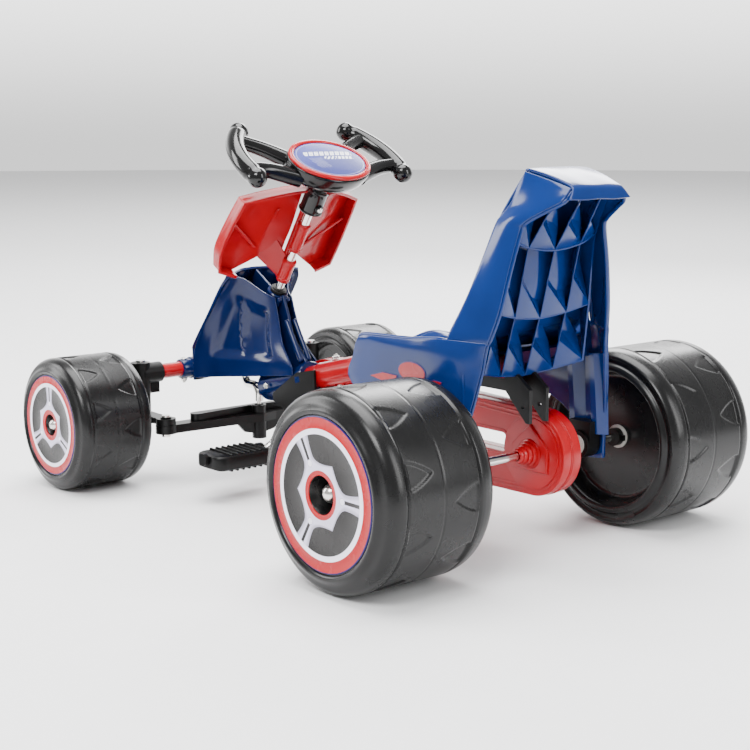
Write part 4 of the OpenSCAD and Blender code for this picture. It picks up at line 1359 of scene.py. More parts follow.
    def build_disc(self) -> None:
        """Makes the printed disc."""
        s = self.size
        w = s.width
        rings = [
            (radius * 1e3 + shift, w - 2.4 + lift)
            for radius in s.print_rings
            for shift, lift in ((-0.9, 0), (-0.3, 0.22), (0.3, 0.22), (0.9, 0))
        ]
        profile = [
            (s.hub + 0.3, w - 3.9), (s.hub + 0.1, w - 3.0), (s.hub + 0.7, w - 2.4), *rings,
            (s.disc - 0.6, w - 2.5), (s.disc - 0.1, w - 3.0), (s.disc - 0.2, w - 3.9),
        ]  # fmt: skip
        points, faces = lathe(profile, 120)
        piece = make_object(self.name + "_print", points, faces)
        point_out(piece)
        move(piece, self.seat())
        finish = WheelPrint(
            f"{self.name}_print",
            (0.72, 0.68, 0.88),
            (self.axle[0] * MM, self.axle[1] * MM),
            s.turn,
            *s.print_rings,
        )
        dress(piece, finish, self.body, [self.name + "_disc"])

    def cap_spot(self) -> tuple[Vector, Vector]:
        """Where the cap nut stands and which way it faces."""
        seat = self.seat(self.size.width * 0.82 + 2.4)
        return seat.translation, seat.to_3x3() @ Vector((0, 0, 1))

    def build(self) -> None:
        """Makes the whole wheel."""
        self.build_tyre()
        self.build_disc()


@dataclass
class WheelSet:
    """The four wheels and the nuts that hold them."""

    shop: Workshop
    nuts: FastenerShop

    def build(self) -> None:
        """Makes the wheels, then the cap nuts."""
        rear, front = (REAR_X, REAR_Z), (FRONT_X, FRONT_Z)
        left, right = Side.LEFT, Side.RIGHT
        wheels = [
            Wheel(self.shop, REAR_WHEEL, "rear_left", left, rear, "rear_left_roller"),
            Wheel(self.shop, REAR_WHEEL, "rear_right", right, rear, "axle"),
            Wheel(self.shop, FRONT_WHEEL, "front_left", left, front, "front_left_roller"),
            Wheel(self.shop, FRONT_WHEEL, "front_right", right, front, "front_right_roller"),
        ]
        for wheel in wheels:
            wheel.build()
        rear_cap, front_cap = self.nuts.cap_nut(17.0), self.nuts.cap_nut(14.0)
        groups = (
            ("axle_caps", rear_cap, wheels[:2], "axle", "axle_nuts"),
            ("front_left_cap", front_cap, wheels[2:3], "left_steer", "front_left_nut"),
            ("front_right_cap", front_cap, wheels[3:], "right_steer", "front_right_nut"),
        )
        for name, shape, held, body, node in groups:
            piece = self.shop.fasten(name, shape, [w.cap_spot() for w in held], ZINC)
            dress(piece, ZINC, body, [node])
        for shape in (rear_cap, front_cap):
            bpy.data.objects.remove(shape)


@dataclass
class Seat:
    """The blow-moulded seat: side panels, wall, cap, ribs, pleats and pan."""

    shop: Workshop
    wall: float = 4.0
    junctions: tuple[float, ...] = (-80.0, -49.0, 0.0, 49.0, 80.0)

    panel: tuple[tuple[Point, ...], ...] = (
        ((-396, 53, 520), (-433, 49, 510), (-468, 44, 499)),
        ((-390, 61, 498), (-428, 62, 489), (-466, 58, 484)),
        ((-385, 68, 478), (-418, 71, 474), (-446, 68, 472)),
        ((-376, 75, 462), (-400, 80, 460), (-421, 78, 457)),
        ((-371, 80, 452), (-393, 84, 446), (-413, 80, 444)),
        ((-364, 97, 407), (-387, 98, 402), (-408, 92, 398)),
        ((-356, 118, 355), (-381, 113, 350), (-401, 104, 340)),
        ((-342, 140.6, 302), (-367, 128, 300), (-391, 114, 298)),
    )
    apron: tuple[tuple[Point, ...], ...] = (
        ((-190, 150, 295), (-273, 146, 298), (-341, 142, 304), (-391, 115, 302)),
        ((-175, 151, 288), (-273, 148, 284), (-345, 144.5, 286), (-388, 117, 284)),
        ((-165, 150, 266), (-273, 146, 262), (-347, 144, 262), (-386, 120, 262)),
        ((-159, 148, 224), (-273, 142, 214), (-351, 142, 214), (-379, 130, 214)),
        ((-283, 142, 178), (-303, 142, 176), (-333, 142, 174), (-371, 139, 172)),
        ((-316, 142, 140), (-325, 142, 138), (-340, 142, 138), (-368, 141, 138)),
        ((-319, 142, 110), (-333, 142, 107), (-349, 142, 107), (-367, 142, 110)),
    )
    back: tuple[tuple[Point, ...], ...] = (
        ((-392, 52, 516), (-397, 26, 517), (-399, 0, 518), (-397, -26, 517), (-392, -52, 516)),
        ((-371, 78, 455), (-380, 38, 455), (-385, 0, 455), (-380, -38, 455), (-371, -78, 455)),
        ((-364, 95, 407), (-376, 48, 407), (-381, 0, 407), (-376, -48, 407), (-364, -95, 407)),
        ((-353, 114, 355), (-368, 60, 355), (-373, 0, 355), (-368, -60, 355), (-353, -114, 355)),
        ((-337, 124, 310), (-347, 66, 310), (-351, 0, 310), (-347, -66, 310), (-337, -124, 310)),
        ((-313, 130, 284), (-317, 66, 284), (-319, 0, 284), (-317, -66, 284), (-313, -130, 284)),
        ((-293, 132, 273), (-296, 66, 272.5), (-297, 0, 272.5), (-296, -66, 272.5), (-293, -132, 273)),
    )
    cap: tuple[tuple[Point, ...], ...] = (
        ((-394, 53, 519), (-395, 27, 520), (-396, 0, 520), (-395, -27, 520), (-394, -53, 519)),
        ((-403, 54, 520), (-404, 27, 521), (-404, 0, 521), (-404, -27, 521), (-403, -54, 520)),
        ((-435, 50, 512), (-436, 26, 513), (-436, 0, 513), (-436, -26, 513), (-435, -50, 512)),
        ((-464, 46, 501), (-465, 24, 502), (-465, 0, 502), (-465, -24, 502), (-464, -46, 501)),
        ((-470, 49, 496), (-471, 26, 496), (-471, 0, 497), (-471, -26, 496), (-470, -49, 496)),
        ((-473, 58, 486), (-473, 29, 485), (-473, 0, 486), (-473, -29, 485), (-473, -58, 486)),
    )
    rib_edges: tuple[tuple[Point, ...], ...] = (
        ((-432, -66, 484), (-440, -42, 484), (-444, 0, 484), (-440, 42, 484), (-432, 66, 484)),
        ((-398, -80, 434), (-399, -49, 422), (-399, 0, 416), (-399, 49, 422), (-398, 80, 434)),
        ((-382, -88, 337), (-376, -49, 328), (-374, 0, 323), (-376, 49, 328), (-382, 88, 337)),
        ((-366, -96, 256), (-352, -49, 247), (-348, 0, 243), (-352, 49, 247), (-366, 96, 256)),
    )

    def sheet(
        self,
        name: str,
        rows: Sequence[Sequence[Point]],
        down: int,
        side: float = -1.0,
    ) -> bpy.types.Object:
        """One wall of the seat as a smooth solid sheet."""
        points, faces = patch(rows, down, 5, spline, spline)
        piece = make_object(name, points, faces)
        thicken(piece, self.wall, side)
        soften(piece, 1.4, 3, 40)
        return bake(piece)

    def bay(
        self,
        name: str,
        upper: Sequence[Point],
        lower: Sequence[Point],
        deep: float,
    ) -> list[bpy.types.Object]:
        """The folded panels between two ribs.

        Args:
            name: Start of their names.
            upper: The upper rib's free edge at the junctions.
            lower: The lower rib's.
            deep: How far the folds fall behind the edges.

        Returns:
            One sheet for each bay.
        """
        panels = []
        for k in range(len(upper) - 1):
            a, b, c = Vector(upper[k + 1]), Vector(lower[k + 1]), Vector(lower[k])
            other = Vector(upper[k])
            inward = Vector((deep, 0, 0))
            d = a.lerp(other, 0.46) + inward * 1.15 + Vector((0, 0, -5))
            e = a.lerp(b, 0.38).lerp(other.lerp(c, 0.38), 0.36) + inward
            f = a.lerp(b, 0.5)
            g = other.lerp(c, 0.55) + inward * 0.9
            points = [a, b, c, d, e, f, g]
            faces = [(0, 3, 4), (0, 4, 5), (5, 4, 2), (5, 2, 1), (4, 3, 6), (4, 6, 2)]
            piece = make_object(f"{name}_{k}", points, faces)
            thicken(piece, 2.0, 1.0)
            soften(piece, 0.9, 3, 15)
            panels.append(bake(piece))
        return panels

    def ribs(self) -> list[bpy.types.Object]:
        """The level ribs, each from the wall out to its free edge."""
        made = []
        for k, (edge, wall_x) in enumerate(zip(self.rib_edges[1:], (-374.0, -352.0, -322.0))):
            outer = spline(edge, 8)
            root = [Vector((wall_x, p.y * 1.02, p.z + 4)) for p in outer]
            middle = [(a + b) / 2 + Vector((0, 0, 1)) for a, b in zip(outer, root)]
            rows = [outer, middle, root]
            points, faces = patch(rows, 1, 1, straight, straight)
            piece = make_object(f"rib_{k}", points, faces)
            thicken(piece, 3.4, 0.0)
            soften(piece, 1.3, 3, 40)
            made.append(bake(piece))
        return made

    def lining(self, side: Side) -> list[bpy.types.Object]:
        """The wall from the folds out to the side panel, and the long flutes below it.

        Args:
            side: Which side of the kart.

        Returns:
            The two sheets.
        """
        s = side.value
        ends = [
            (-431, 66, 484), (-398, 79, 434), (-389, 83, 385), (-382, 87, 337), (-374, 91, 296),
            (-366, 95, 256),
        ]  # fmt: skip
        panel = [
            (-396, 60, 488), (-376, 80, 436), (-362, 98, 385), (-350, 121, 337), (-343, 136, 296),
            (-346, 139, 256),
        ]  # fmt: skip
        rows = []
        for (ax, ay, az), (bx, by, bz) in zip(ends, panel):
            rows.append(
                [
                    (ax, ay * s, az),
                    (ax + 13, (ay * 0.8 + by * 0.2) * s, az),
                    ((ax + bx) / 2 + 14, (ay + by) / 2 * s, (az + bz) / 2),
                    (bx + 3, by * s, bz),
                ]
            )
        points, faces = patch(rows, 4, 4, spline, straight)
        wall = make_object("lining", points, faces)
        thicken(wall, 2.4, 0.0, False)
        places = [-372, -360, -351, -339, -330, -318, -309, -297]
        rows = []
        for share, z in ((0.0, 262), (0.3, 228), (0.65, 188), (1.0, 146)):
            drop = [(x - 6 * share, z + max(0.0, x + 330) * 0.5 * share) for x in places]
            rows.append(
                [
                    (x, s * (139 - (15 - 5 * share) * (1 if k % 4 in (1, 2) else 0)), height)
                    for k, (x, height) in enumerate(drop)
                ]
            )
        points, faces = patch(rows, 5, 2, spline, straight)
        flutes = make_object("flutes", points, faces)
        thicken(flutes, 2.4, 0.0, False)
        return [bake(wall), bake(flutes)]

    def pan(self) -> list[bpy.types.Object]:
        """The flat of the pan with its two raised pads, and the front lip."""
        rows = []
        for x in range(-322, -175, 8):
            row = []
            for y in range(-126, 127, 9):
                pad = math.exp(-((abs(y) - 58) / 40) ** 4) * math.exp(-((x + 245) / 62) ** 4)
                edge = max(0.0, (abs(y) - 108) / 18)
                row.append((x, y, 271.5 + 18.0 * edge * edge + 2.5 * (1 - pad)))
            rows.append(row)
        points, faces = patch(rows, 1, 1, straight, straight)
        flat = make_object("pan_flat", points, faces)
        thicken(flat, self.wall, -1.0)
        lip_rows = [
            [(-183, 141, 287), (-166, 60, 274), (-161, 0, 284), (-166, -60, 274), (-183, -141, 287)],
            [(-174, 144, 290), (-161, 60, 277), (-157, 0, 285), (-161, -60, 277), (-174, -144, 290)],
            [(-165, 146, 276), (-156, 60, 272), (-153.5, 0, 279), (-156, -60, 272), (-165, -146, 276)],
            [(-160, 147, 250), (-154, 60, 266), (-153, 0, 274), (-154, -60, 266), (-160, -147, 250)],
            [(-160, 147, 229), (-154, 60, 261), (-153, 0, 270), (-154, -60, 261), (-160, -147, 229)],
        ]
        lip = self.sheet("pan_lip", lip_rows, 3, 1.0)
        fold = self.sheet(
            "pan_fold",
            [
                [(-183, 141, 287), (-166, 60, 274), (-161, 0, 284), (-166, -60, 274), (-183, -141, 287)],
                [(-186, 132, 278), (-176, 60, 273), (-174, 0, 274), (-176, -60, 273), (-186, -132, 278)],
            ],
            3,
        )
        return [bake(flat), lip, fold]

    def rims(self, side: Side) -> list[bpy.types.Object]:
        """The rolled edges of one side."""
        runs = (
            ([row[0] for row in self.panel], 3.4),
            ([row[2] for row in self.panel], 2.9),
            ([self.apron[0][2], self.apron[0][1], self.apron[0][0], self.apron[1][0], self.apron[2][0],
              self.apron[3][0]], 3.4),
            ([row[3] for row in self.apron], 2.6),
            (list(self.panel[0]), 2.6),
        )  # fmt: skip
        made = []
        for k, (run, radius) in enumerate(runs):
            fine = spline(run, 8)
            path = [Vector((p.x, (p.y - 1.6) * side.value, p.z)) for p in fine]
            radii = [radius * min(1.0, 0.35 + 0.5 * min(i, len(path) - 1 - i)) for i in range(len(path))]
            made.append(tube(f"rim_{k}", path, radii, 14))
        return made

    def build(self) -> None:
        """Makes the seat."""
        parts: list[bpy.types.Object] = []
        for side in Side:
            for name, rows in (("panel", self.panel), ("apron", self.apron)):
                drawn = [[(p[0], p[1] * side.value, p[2]) for p in row] for row in rows]
                parts.append(self.sheet(name, drawn, 4, float(side.value)))
            inner = [
                [(-190, 149 * side.value, 293), (-273, 145 * side.value, 296), (-341, 141 * side.value, 302)],
                [(-187, 138 * side.value, 286), (-273, 135 * side.value, 287), (-330, 132 * side.value, 290)],
                [(-184, 121 * side.value, 274), (-273, 120 * side.value, 274), (-312, 120 * side.value, 275)],
            ]
            parts.append(self.sheet("pan_side", inner, 3, float(side.value)))
            parts += [*self.rims(side), *self.lining(side)]
        parts.append(self.sheet("back", self.back, 4, -1.0))
        parts.append(self.sheet("cap", self.cap, 3, 1.0))
        parts += self.ribs()
        for k, deep in enumerate((17.0, 20.0, 20.0)):
            parts += self.bay(f"bay_{k}", self.rib_edges[k], self.rib_edges[k + 1], deep)
        parts += self.pan()
        seat = join("seat_moulding", parts)
        dress(seat, SEAT_BLUE, "frame", ["seat_shell"], 32)
        self.emblems(seat)

    def emblems(self, seat: bpy.types.Object) -> None:
        """The plain stickers on the side panels.

        Args:
            seat: The finished seat, which the stickers follow.
        """
        mesh = seat.data
        skin = BVHTree.FromPolygons([v.co for v in mesh.vertices], [p.vertices for p in mesh.polygons])
        layers = ((1.7, 0.3, STICKER_EDGE), (0.0, 0.9, STICKER_RED))
        for side in Side:
            loops = (
                [(-285 + 26 * math.cos(a), 255 + 13 * math.sin(a)) for a in self.turn(40)],
                [(-201, 240), (-226, 247), (-254, 246), (-250, 238), (-224, 236)],
                [(-314, 245), (-328, 249), (-342, 248), (-336, 241), (-340, 233), (-318, 237)],
            )
            for k, loop in enumerate(loops):
                middle = sum((Vector(p) for p in loop), Vector((0, 0))) / len(loop)
                for layer, (grow, lift, finish) in enumerate(layers):
                    arms = [Vector(p) - middle for p in loop]
                    grown = [tuple(middle + arm * (1 + grow / max(4.0, arm.length))) for arm in arms]
                    piece = plate(f"sticker_{side.name.lower()}_{k}_{layer}", [grown], 0.9, 0.2)
                    move(piece, in_side_view(0.0))
                    for vertex in piece.data.vertices:
                        start = Vector((vertex.co.x, 0.2 * side.value, vertex.co.z))
                        spot = skin.ray_cast(start, Vector((0, -side.value, 0)))[0]
                        out = lift + (0.5 if vertex.co.y * side.value > 0 else -0.3)
                        vertex.co.y = (spot.y if spot else 0.145 * side.value) + side.value * out * MM
                    point_out(piece)
                    dress(piece, finish, "frame")

    @staticmethod
    def turn(count: int) -> list[float]:
        """Angles round a full turn."""
        return [2 * math.pi * k / count for k in range(count)]


STICKER_RED = Moulded("sticker_red", (0.40, 0.0015, 0.006), 0.28, grain=4e-6, mottle=0.06, rub=0.02)
STICKER_EDGE = Moulded("sticker_edge", (0.02, 0.014, 0.13), 0.28, grain=4e-6, mottle=0.06, rub=0.02)


@dataclass
class Frame:
    """The enamelled beam in its two halves, with its bolts."""

    shop: Workshop
    nuts: FastenerShop
    rear_width: float = 41.0
    front_width: float = 36.4

    @staticmethod
    def height(x: float) -> float:
        """Height of the beam's middle at a place along it."""
        share = max(0.0, (x + 148.0) / 304.0)
        return 247.0 - 77.0 * share

    def build(self) -> None:
        """Makes both tubes and their bolts."""
        rear = self.shop.bar(
            "rear_tube",
            [(-325, 0, 247), (-148, 0, 247), (99, 0, self.height(99))],
            self.rear_width,
            120.0,
            RED_ENAMEL,
            64,
        )
        along = (Vector((1, 0, self.height(1) - self.height(0)))).normalized()
        mouth = Vector((99, 0, self.height(99)))
        bead = tube(
            "rear_tube_bead",
            [mouth - along * 1.5, mouth, mouth + along * 2.2, mouth + along * 3, mouth + along * 3],
            [self.rear_width / 2 - 0.3, self.rear_width / 2 + 0.25, self.rear_width / 2 + 0.2,
             self.rear_width / 2 - 0.8, 18.6],
            64,
        )  # fmt: skip
        piece = join("rear_beam_tube", [rear, bead])
        dress(piece, RED_ENAMEL, "frame", ["rear_beam"])
        front = self.shop.bar(
            "front_beam_tube",
            [(-10, 0, self.height(-10)), (100, 0, self.height(100)), (246, 0, self.height(246))],
            self.front_width,
            60.0,
            RED_ENAMEL,
            64,
        )
        dress(front, RED_ENAMEL, "frame", ["front_beam"])
        nut, head = self.nuts.hex_nut(10.0, 6.0, 7.0, 3.0), self.nuts.cross_screw(5.0)
        up = along.cross(Vector((0, -1, 0)))
        spot = Vector((62, 0, self.height(62)))
        nuts = [(spot - up * 20.2, -up), ((217, -28.9, self.height(217)), (0, -1, 0))]
        heads = [(spot + up * 20.5, up), ((217, 28.9, self.height(217)), (0, 1, 0))]
        pair = join(
            "beam_fasteners",
            [self.shop.fasten("nuts", nut, nuts, ZINC), self.shop.fasten("heads", head, heads, ZINC)],
        )
        dress(pair, ZINC, "frame", ["beam_bolts"])
        for shape in (nut, head):
            bpy.data.objects.remove(shape)


@dataclass
class Cowl:
    """The front cowl: a creased nose, its sleeves and its webs."""

    shop: Workshop
    nuts: FastenerShop
    rows: tuple[tuple[Point, ...], ...] = (
        ((256, 67, 341), (266, 50, 343), (275, 32, 344.5), (283, 0, 345)),
        ((258, 70, 338), (270, 51, 340), (280, 33, 341), (288, 0, 341.5)),
        ((272, 78, 320), (283, 57, 321), (292, 34, 322), (301, 0, 322)),
        ((311, 80, 268), (322, 58, 268), (334, 35, 267), (345, 0, 267)),
        ((352, 82, 214), (366, 59, 212), (380, 36, 210), (391, 0, 208)),
        ((355, 82, 200), (369, 59, 198), (383, 36, 197), (394, 0, 196)),
        ((353, 82, 152), (368, 59, 149), (383, 37, 147.5), (394.5, 0, 147)),
    )

    def nose(self, side: Side) -> bpy.types.Object:
        """One half of the nose, with its sunk panel."""
        points, faces = patch(self.rows, 12, 14, spline, spline)
        across, down = 3 * 14 + 1, 6 * 12 + 1
        moved = []
        for i, p in enumerate(points):
            u, v = (i // down) / (across - 1), (i % down) / (down - 1)
            sides = [(u - 0.10) * 5.5, (0.86 - u) * 5.5, (v - 0.17) * 8, (0.72 - v) * 8]
            sides.append((0.98 - u * 0.35 - v) * 5)
            sunk = 1.0
            for gap in sides:
                sunk *= Wheel.blend(gap)
            ridge = math.exp(-(((u - 0.94) / 0.03) ** 2)) * Wheel.blend((v - 0.05) * 9)
            moved.append(Vector((p.x - 6.0 * sunk + 1.6 * ridge, p.y, p.z - 2.5 * sunk)))
        if side is Side.RIGHT:
            moved = mirrored(moved)
        piece = make_object("nose", moved, faces)
        thicken(piece, 4.0, float(side.value))
        soften(piece, 1.3, 3, 40)
        return bake(piece)

    def webs(self) -> list[bpy.types.Object]:
        """The upright webs behind the nose, drawn in X-Z."""
        spine = [
            (205, 303), (221, 302), (318, 186), (306, 173), (276, 168), (246, 167), (196, 178), (142, 191),
            (145, 203), (158, 214), (171, 228), (183, 246), (190, 268),
        ]  # fmt: skip
        front = [(222, 305), (280, 340), (297, 321), (386, 209), (388, 186), (366, 183), (313, 184)]
        made = []
        for name, outline, thick in (("spine", spine, 6.0), ("front_web", front, 4.4)):
            piece = plate(name, [outline], thick, 1.6)
            made.append(move(piece, in_side_view(0.0)))
        rails = [((206, 296), (296, 190)), ((186, 262), (150, 204))]
        for k, (a, b) in enumerate(rails):
            for y in (-8.0, 8.0):
                path, radii = capsule((a[0], y, a[1]), (b[0], y, b[1]), 4.2)
                made.append(tube(f"rail_{k}", path, radii, 20))
        return made

    def side_cheek(self, side: Side) -> bpy.types.Object:
        """The closed side wall with its sunk rounded triangle."""
        y = 24.0 * side.value
        rows = [
            [(207, y * 0.62, 300), (228, y, 309), (252, y * 1.9, 330), (268, y * 2.9, 336)],
            [(196, y * 0.66, 268), (236, y * 1.05, 275), (276, y * 2.1, 292), (301, y * 3.1, 286)],
            [(180, y * 0.80, 228), (240, y * 1.15, 232), (300, y * 2.2, 240), (334, y * 3.25, 236)],
            [(150, y * 1.02, 196), (236, y * 1.25, 198), (312, y * 2.3, 196), (352, y * 3.35, 196)],
            [(146, y * 1.02, 180), (236, y * 1.2, 168), (312, y * 2.2, 160), (352, y * 3.35, 156)],
        ]
        points, faces = patch(rows, 10, 12, spline, spline)
        across, down = 3 * 12 + 1, 4 * 10 + 1
        moved = []
        for i, p in enumerate(points):
            u, v = (i // down) / (across - 1), (i % down) / (down - 1)
            sunk = 1.0
            sides = [(u - 0.14) * 7, (0.80 - u) * 7, (v - 0.16) * 7, (0.80 - v) * 8]
            sides.append((u * 0.9 + 0.62 - v * 0.9) * 4)
            for gap in sides:
                sunk *= Wheel.blend(gap)
            rib = math.exp(-(((u + v * 0.25 - 0.62) / 0.02) ** 2)) * sunk
            moved.append(Vector((p.x, p.y - side.value * (7.0 * sunk - 5.0 * rib), p.z)))
        piece = make_object("cheek", moved, faces)
        thicken(piece, 3.0, -float(side.value))
        soften(piece, 1.0, 3, 40)
        return bake(piece)

    def sleeves(self) -> list[bpy.types.Object]:
        """The round housings over the column, the beam and the cross tube."""
        made = []
        a, b = column_point(0, 0, -165), column_point(0, 0, -6)
        way = (b - a).normalized()
        path = [a, a + way * 1, a + way * 2, b - way * 12, b - way * 11, b - way * 1.5, b, b]
        made.append(tube("column_sleeve", path, [13, 14.5, 15, 15, 17.5, 17.5, 16.2, 8], 40))
        a, b = Vector((129, 0, Frame.height(129))), Vector((249, 0, Frame.height(249)))
        way = (b - a).normalized()
        path = [a, a, a + way * 1.5, a + way * 13, a + way * 14.5, b - way * 3, b, b]
        made.append(tube("beam_sleeve", path, [18.6, 25.0, 26.5, 26.5, 24.6, 24.6, 22, 18.4], 48))
        for side in Side:
            s = side.value
            path = [(367, s * y, 171) for y in (2, 70, 72, 80, 82, 97, 99.5, 100, 100)]
            made.append(
                tube("cross_sleeve", path, [16.6, 16.6, 18.4, 18.4, 16.6, 16.6, 16, 15, 12.9], 40)
            )
            foot = [(350, s * 60, 171), (362, s * 64, 171), (374, s * 68, 171)]
            made.append(tube("cross_gusset", foot, [10, 13, 9], 20))
        return made

    def build(self) -> None:
        """Makes the cowl and its screws."""
        parts = [*self.webs(), *self.sleeves()]
        for side in Side:
            parts += [self.nose(side), self.side_cheek(side)]
        piece = join("cowl_moulding", parts)
        dress(piece, COWL_BLUE, "frame", ["front_cowl"], 34)
        nut, head = self.nuts.hex_nut(8.5, 5.0, 6.0, 2.5), self.nuts.cross_screw(5.2)
        top = [((367, s * 92, 187.2), (0, 0, 1)) for s in (1, -1)]
        under = [((367, s * 92, 154.8), (0, 0, -1)) for s in (1, -1)]
        pair = [((298 + k * 8, 8.4, 196 - k * 4), (0, 1, 0)) for k in (0, 1)]
        piece = join(
            "cowl_fasteners",
            [
                self.shop.fasten("nuts", nut, under, ZINC),
                self.shop.fasten("heads", head, [*top, *pair], ZINC),
            ],
        )
        dress(piece, ZINC, "frame", ["cowl_screws"])
        for shape in (nut, head):
            bpy.data.objects.remove(shape)


@dataclass
class Steering:
    """The column, the fairing on it, and the wheel with its badge."""

    shop: Workshop
    nuts: FastenerShop
    badge: float = 64.0
    squash: float = 0.71

    def oval(self, name: str, profile: Sequence[tuple[float, float]], turns: int = 96) -> bpy.types.Object:
        """A ring round the wheel's centre whose section is offset from the badge's oval.

        Args:
            name: The object's name.
            profile: (offset from the oval, rise) of a closed loop.
            turns: Steps round it.

        Returns:
            The ring.
        """
        points, faces = lathe([(self.badge + r, h) for r, h in profile], turns)
        drawn = []
        for i, p in enumerate(points):
            offset, rise = profile[i % len(profile)]
            a = 2 * math.pi * (i // len(profile)) / turns
            oval = Vector((self.badge * self.squash * math.sin(a), self.badge * math.cos(a), 0))
            out = Vector((math.sin(a) / self.squash, math.cos(a), 0)).normalized()
            drawn.append(COLUMN @ (oval + out * offset + Vector((0, 0, 249 + rise))))
        piece = make_object(name, drawn, faces)
        point_out(piece)
        return piece

    def column(self) -> None:
        """The bright rod, from the wheel down to the pivot."""
        foot = column_point(0, 0, -205)
        path = [
            column_point(0, 0, 232), foot, Vector((287.5, 0, foot.z + 1)), Vector((278.5, 0, foot.z - 9)),
            Vector((278.5, 0, 117)),
        ]  # fmt: skip
        rod = self.shop.bar("rod", path, 14.0, 12.0, COLUMN_ROD, 48)
        x = 278.5
        pivot = [(x, 0, z) for z in (119, 117.5, 113, 105.6)]
        neck = tube("neck", pivot, [5.0, 3.8, 3.8, 3.8], 32)
        turns = [math.pi * k / 20 for k in range(1, 20)]
        ball_path = [(x, 0, 98 - 7.4 * math.cos(a)) for a in turns]
        ball = tube("ball", ball_path, [7.4 * math.sin(a) for a in turns], 32)
        piece = join("column_rod", [rod, neck, ball])
        dress(piece, COLUMN_ROD, "steering", ["steering_column"])

    def hub(self) -> list[bpy.types.Object]:
        """The bowl behind the badge and the socket below it."""
        sections = [
            (248.6, 8.0, 0.0), (247.6, 9.4, 0.0), (246.0, 9.9, 0.0), (243.0, 9.6, 0.0), (236.0, 7.6, -0.2),
            (229.0, 5.0, -0.4), (224.0, 1.4, -0.8), (219.5, -5.0, -1.2), (215.0, -14.0, -1.6),
            (210.5, -24.0, -1.8), (205.5, -33.0, -1.6), (199.5, -40.5, -1.0), (192.0, -45.0, -0.3),
            (184.0, -46.5, 0.0),
        ]  # fmt: skip
        rings = []
        for rise, offset, shift in sections:
            half = max(18.0, self.badge + offset)
            narrow = max(18.0, self.badge * self.squash + offset * (0.98 if offset > 0 else 0.62))
            rings.append(
                [
                    column_point(shift + narrow * math.sin(a), half * math.cos(a), rise)
                    for a in (2 * math.pi * k / 96 for k in range(96))
                ]
            )
        bowl = loft("bowl", rings)
        path = [column_point(0, 0, r) for r in (200, 186, 178, 160, 159, 158.5, 157, 156.2, 156)]
        socket = tube("socket", path, [18, 18, 18, 18, 19, 19.4, 19.4, 18.6, 7.4], 48)
        boss = [column_point(x, 0, 170) for x in (-14, -19, -20.5, -21)]
        return [bowl, socket, tube("screw_boss", boss, [8, 7.6, 7, 5.2], 28)]

    def grip(self, side: Side) -> list[bpy.types.Object]:
        """One curved hand grip with its ball ends and its two arms."""

        def spot(x: float, y: float, rise: float) -> Vector:
            """A point of the wheel's frame on this side."""
            return column_point(x, y * side.value, 250 + rise)

        path, radii = [], []
        start, end, bow, steps = 43.0, 103.0, 125.0, 46
        for k in range(-7, steps + 8):
            held = min(max(k, 0), steps)
            a = math.radians(start + (end - start) * held / steps)
            if k != held:
                lean = math.pi / 2 * abs(k - held) / 7.4
                a += math.copysign(15.6 * math.sin(lean) / bow, k - held)
                radii.append(15.6 * math.cos(lean))
            else:
                near = min(k, steps - k) / steps * 130
                groove = 1.2 * math.exp(-(((near - 8) / 3.2) ** 2))
                radii.append(15.0 + 0.7 * Wheel.blend(1 - near / 4) - groove)
            path.append(spot(9.6 + bow * math.cos(a), 20.9 + bow * math.sin(a), -15))
        parts = [tube("grip", path, radii, 44)]
        for angle, mid, root in (
            (56.0, (58, 84, -18), (26, 44, -22)),
            (92.0, (2, 106, -18), (-14, 58, -22)),
        ):
            a = math.radians(angle)
            tip = (9.6 + (bow - 3) * math.cos(a), 20.9 + (bow - 3) * math.sin(a), -15)
            run = spline([root, mid, tip], 12)
            last = len(run) - 1
            width = [15.2 - 3.4 * math.sin(math.pi / 2 * i / last) for i in range(last + 1)]
            parts.append(tube("arm", [spot(*p) for p in run], width, 36, 0.94))
        web = spline([(24, 56, -22), (8, 72, -24), (-12, 62, -22)], 8)
        parts.append(tube("web", [spot(*p) for p in web], [7.0] * len(web), 20))
        return parts

    def fairing(self) -> None:
        """The red tray on the column, its rim, ribs and clips."""
        parts = []
        for side in Side:
            s = side.value
            rows = [
                [(128, 12, 486), (140, 44, 482), (154, 80, 475), (168, 111, 467)],
                [(150, 9, 454), (162, 44, 453), (178, 82, 448), (190, 115, 438)],
                [(172, 7, 418), (190, 44, 418), (202, 82, 414), (213, 118, 407)],
                [(190, 7, 392), (208, 42, 392), (222, 81, 386), (228, 118, 384)],
                [(202, 9, 368), (222, 40, 367), (240, 79, 346), (241, 112, 356)],
            ]
            drawn = [[(p[0], p[1] * s, p[2]) for p in row] for row in rows]
            points, faces = patch(drawn, 8, 8, spline, straight)
            wing = make_object("wing", points, faces)
            thicken(wing, 3.2, float(s))
            soften(wing, 1.2, 3, 40)
            parts.append(bake(wing))
            edge = [*drawn[0], *(row[3] for row in drawn[1:]), drawn[4][2]]
            fine = straight(edge, 5)
            middle = Vector((190, 55 * s, 420))
            depth = [17.0 if i < 40 else 17.0 - (i - 40) * 2.0 for i in range(len(fine))]
            way = Vector((-0.851, 0, -0.525))
            lip = [p + way * d for p, d in zip(fine, depth)]
            out = [p + way * (d + 0.3) + (p - middle).normalized() * 2.6 for p, d in zip(fine, depth)]
            front = [p - way * 2.0 for p in fine]
            half = [a.lerp(b, 0.5) for a, b in zip(front, lip)]
            points, faces = patch([front, half, lip, out], 1, 1, straight, straight)
            flange = make_object("flange", points, faces)
            thicken(flange, 2.8, float(s))
            soften(flange, 1.1, 3, 35)
            parts.append(bake(flange))
            gusset = [(222, 40 * s, 367), (199, 31 * s, 420), (190, 4 * s, 368), (211, 6 * s, 333)]
